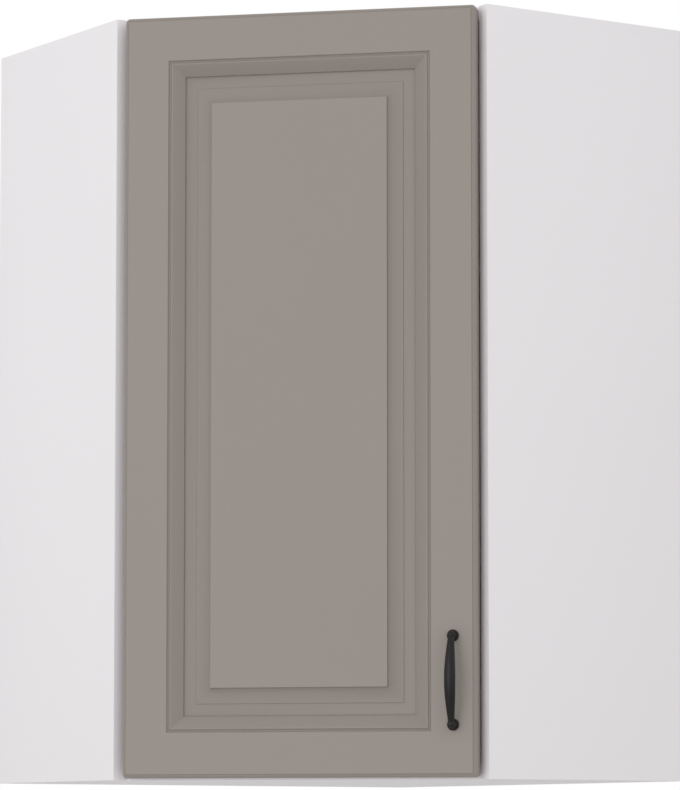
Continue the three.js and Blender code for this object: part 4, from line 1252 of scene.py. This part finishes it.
# %% Screws and bumpers
# name, pattern, places, finish, body, slot, phrase in the CAD nodes' names; the row's number is the seed
FASTENERS = [
    ("plate_screws", plate_screw, plate_places, screw_finish,
     "carcass", "screw_steel", "hinge_plate_screw"),
    ("cup_screws", screw_pattern(3.4, 1.6, 1.6, 11), cup_places, screw_finish,
     "door_leaf", "screw_steel", "hinge_cup_screw"),
    ("arm_clamp_screws", screw_pattern(3.6, 1.6, 2.0, 7), arm_clamp_places, screw_finish,
     "carcass", "screw_steel", "hinge_clamp_screw"),
    ("arm_side_screws", screw_pattern(3.2, 0.8, 2.0, 7), arm_side_places, screw_finish,
     "carcass", "screw_steel", "hinge_side_screw"),
    ("handle_bolts", screw_pattern(4, 2.4, 1.9, 28.3), handle_places, screw_finish,
     "door_leaf", "screw_steel", "handle_screw"),
    ("hanger_screws", screw_pattern(3.4, 1.6, 1.4, 6), hook_places, zinc_finish,
     "carcass", "hanger_steel", "hanger_screw"),
    ("door_bumpers", bumper, bumper_places, rubber_finish,
     "door_leaf", "buffer_rubber", "door_buffer"),
]
for seed, (name, pattern, places, finish, body, slot, phrase) in enumerate(FASTENERS):
    mesh = set_fasteners(pattern, places, seed, finish)
    place_piece(name, mesh, body, slot, *named(phrase))

# %% Shelf pins
SHELF_UNDERSIDES = (294.667, 589.333)
PIN_RADIUS = 3.2
PIN_LINES = (PLATE_LINE, 72)
CORNER_PIN = (36, -27)
PIN_SEED = 15

pin_places = []
for underside in SHELF_UNDERSIDES:
    z = underside - PIN_RADIUS
    for line in PIN_LINES:
        pin_places.append((right_place(line, 0, z), OUT_OF_RIGHT))
        pin_places.append((left_place(line, 0, z), OUT_OF_LEFT))
    pin_places.append((Vector((*CORNER_PIN, z)) * MM, INTO_RIGHT))
pin_mesh = set_fasteners(pin_pattern(), pin_places, PIN_SEED, screw_finish)
place_piece("shelf_pins", pin_mesh, "carcass", "pin_nickel", *named("shelf_pin"))

# %% Panel connectors
CAM_LINES = (70, 215)
CAM_LIFT = 24
CAM_TOPS = (15.7, 899.7)
BOLT_DROP = 7.7
CAM_SEED = 17
BOLT_SEED = 18

cam_places = []
bolt_places = []
for top in CAM_TOPS:
    for line in CAM_LINES:
        for place, into in ((right_place, INTO_RIGHT), (left_place, INTO_LEFT)):
            cam_places.append((place(line, CAM_LIFT, top), UP))
            bolt_places.append((place(line, CAM_LIFT, top - BOLT_DROP), into))
cams = set_fasteners(cam_pattern(), cam_places, CAM_SEED, zinc_finish)
bolts = set_fasteners(bolt_pattern(), bolt_places, BOLT_SEED, zinc_finish)
connectors = merged(cams, bolts)
give_finish(connectors, zinc_finish)
soften(connectors)
place_piece("panel_connectors", connectors, "carcass", "connector_zinc", *named("connector"))

# %% [markdown]
# ## Floor and light
# The cabinet hangs on a wall, so the floor is far below it and only returns soft light to the
# underside. The light is a plain white room with one large soft lamp in front, up and to the left,
# just strong enough to tell one side from the other. What the camera sees behind is plain white.

# %% Floor
FLOOR_DROP = 2.8
FLOOR_RADIUS = 40
FLOOR_SIDES = 96


def pale_floor():
    material, place = new_finish("pale_floor")
    color = place.noise(0.6, 2).paint(tone(214, 213, 212), tone(219, 218, 217))
    close_finish(place, {"Base Color": color, "Roughness": 0.8})
    return material


floor_mesh = bpy.data.meshes.new("studio_floor")
rim = []
for i in range(FLOOR_SIDES):
    angle = FULL_TURN * i / FLOOR_SIDES
    rim.append((FLOOR_RADIUS * math.cos(angle), FLOOR_RADIUS * math.sin(angle), -FLOOR_DROP))
floor_mesh.from_pydata(rim, [], [range(FLOOR_SIDES)])
floor_mesh.materials.append(pale_floor())
floor = add_object("studio_floor", floor_mesh)
print("floor at", -FLOOR_DROP)

# %% Room light
ROOM_LIGHT = 0.92


def room_light():
    """A white room: a little dimmer as light than it looks to the camera and in reflections."""
    world = bpy.data.worlds.new("white_room")
    world.use_nodes = True
    tree = world.node_tree
    tree.nodes.clear()
    start = Wire(tree)
    seen = start.make("ShaderNodeLightPath", output="Is Camera Ray")
    gloss = start.make("ShaderNodeLightPath", output="Is Glossy Ray")
    through = start.make("ShaderNodeLightPath", output="Is Transmission Ray")
    shown = seen.either(gloss).either(through)
    strength = ROOM_LIGHT + shown * (1 - ROOM_LIGHT)
    sockets = {"Color": (1, 1, 1, 1), "Strength": strength}
    sky = start.make("ShaderNodeBackground", sockets=sockets)
    start.make("ShaderNodeOutputWorld", sockets={"Surface": sky})
    scene.world = world


room_light()
scene.view_settings.view_transform = "Standard"
print("the room's light is", ROOM_LIGHT)

# %% Soft lamp
LAMP_WATTS = 155
LAMP_SIZE = (5.2, 8)
LAMP_DISTANCE = 10
LAMP_DIRECTION = (-INWARD * 0.9 - ALONG * 0.31 + UP * 0.12).normalized()


def soft_lamp():
    lamp = bpy.data.lights.new("soft_lamp", "AREA")
    lamp.shape = "ELLIPSE"
    lamp.size, lamp.size_y = LAMP_SIZE
    lamp.energy = LAMP_WATTS
    lamp_object = add_object("soft_lamp", lamp)
    aim = at_door(0, DOOR_FACE, DOOR_MIDDLE)
    lamp_object.location = aim + LAMP_DIRECTION * LAMP_DISTANCE
    lamp_object.rotation_euler = (-LAMP_DIRECTION).to_track_quat("-Z", "Y").to_euler()
    lamp_object.visible_camera = False
    return lamp_object


lamp_object = soft_lamp()
print("lamp at", lamp_object.location)
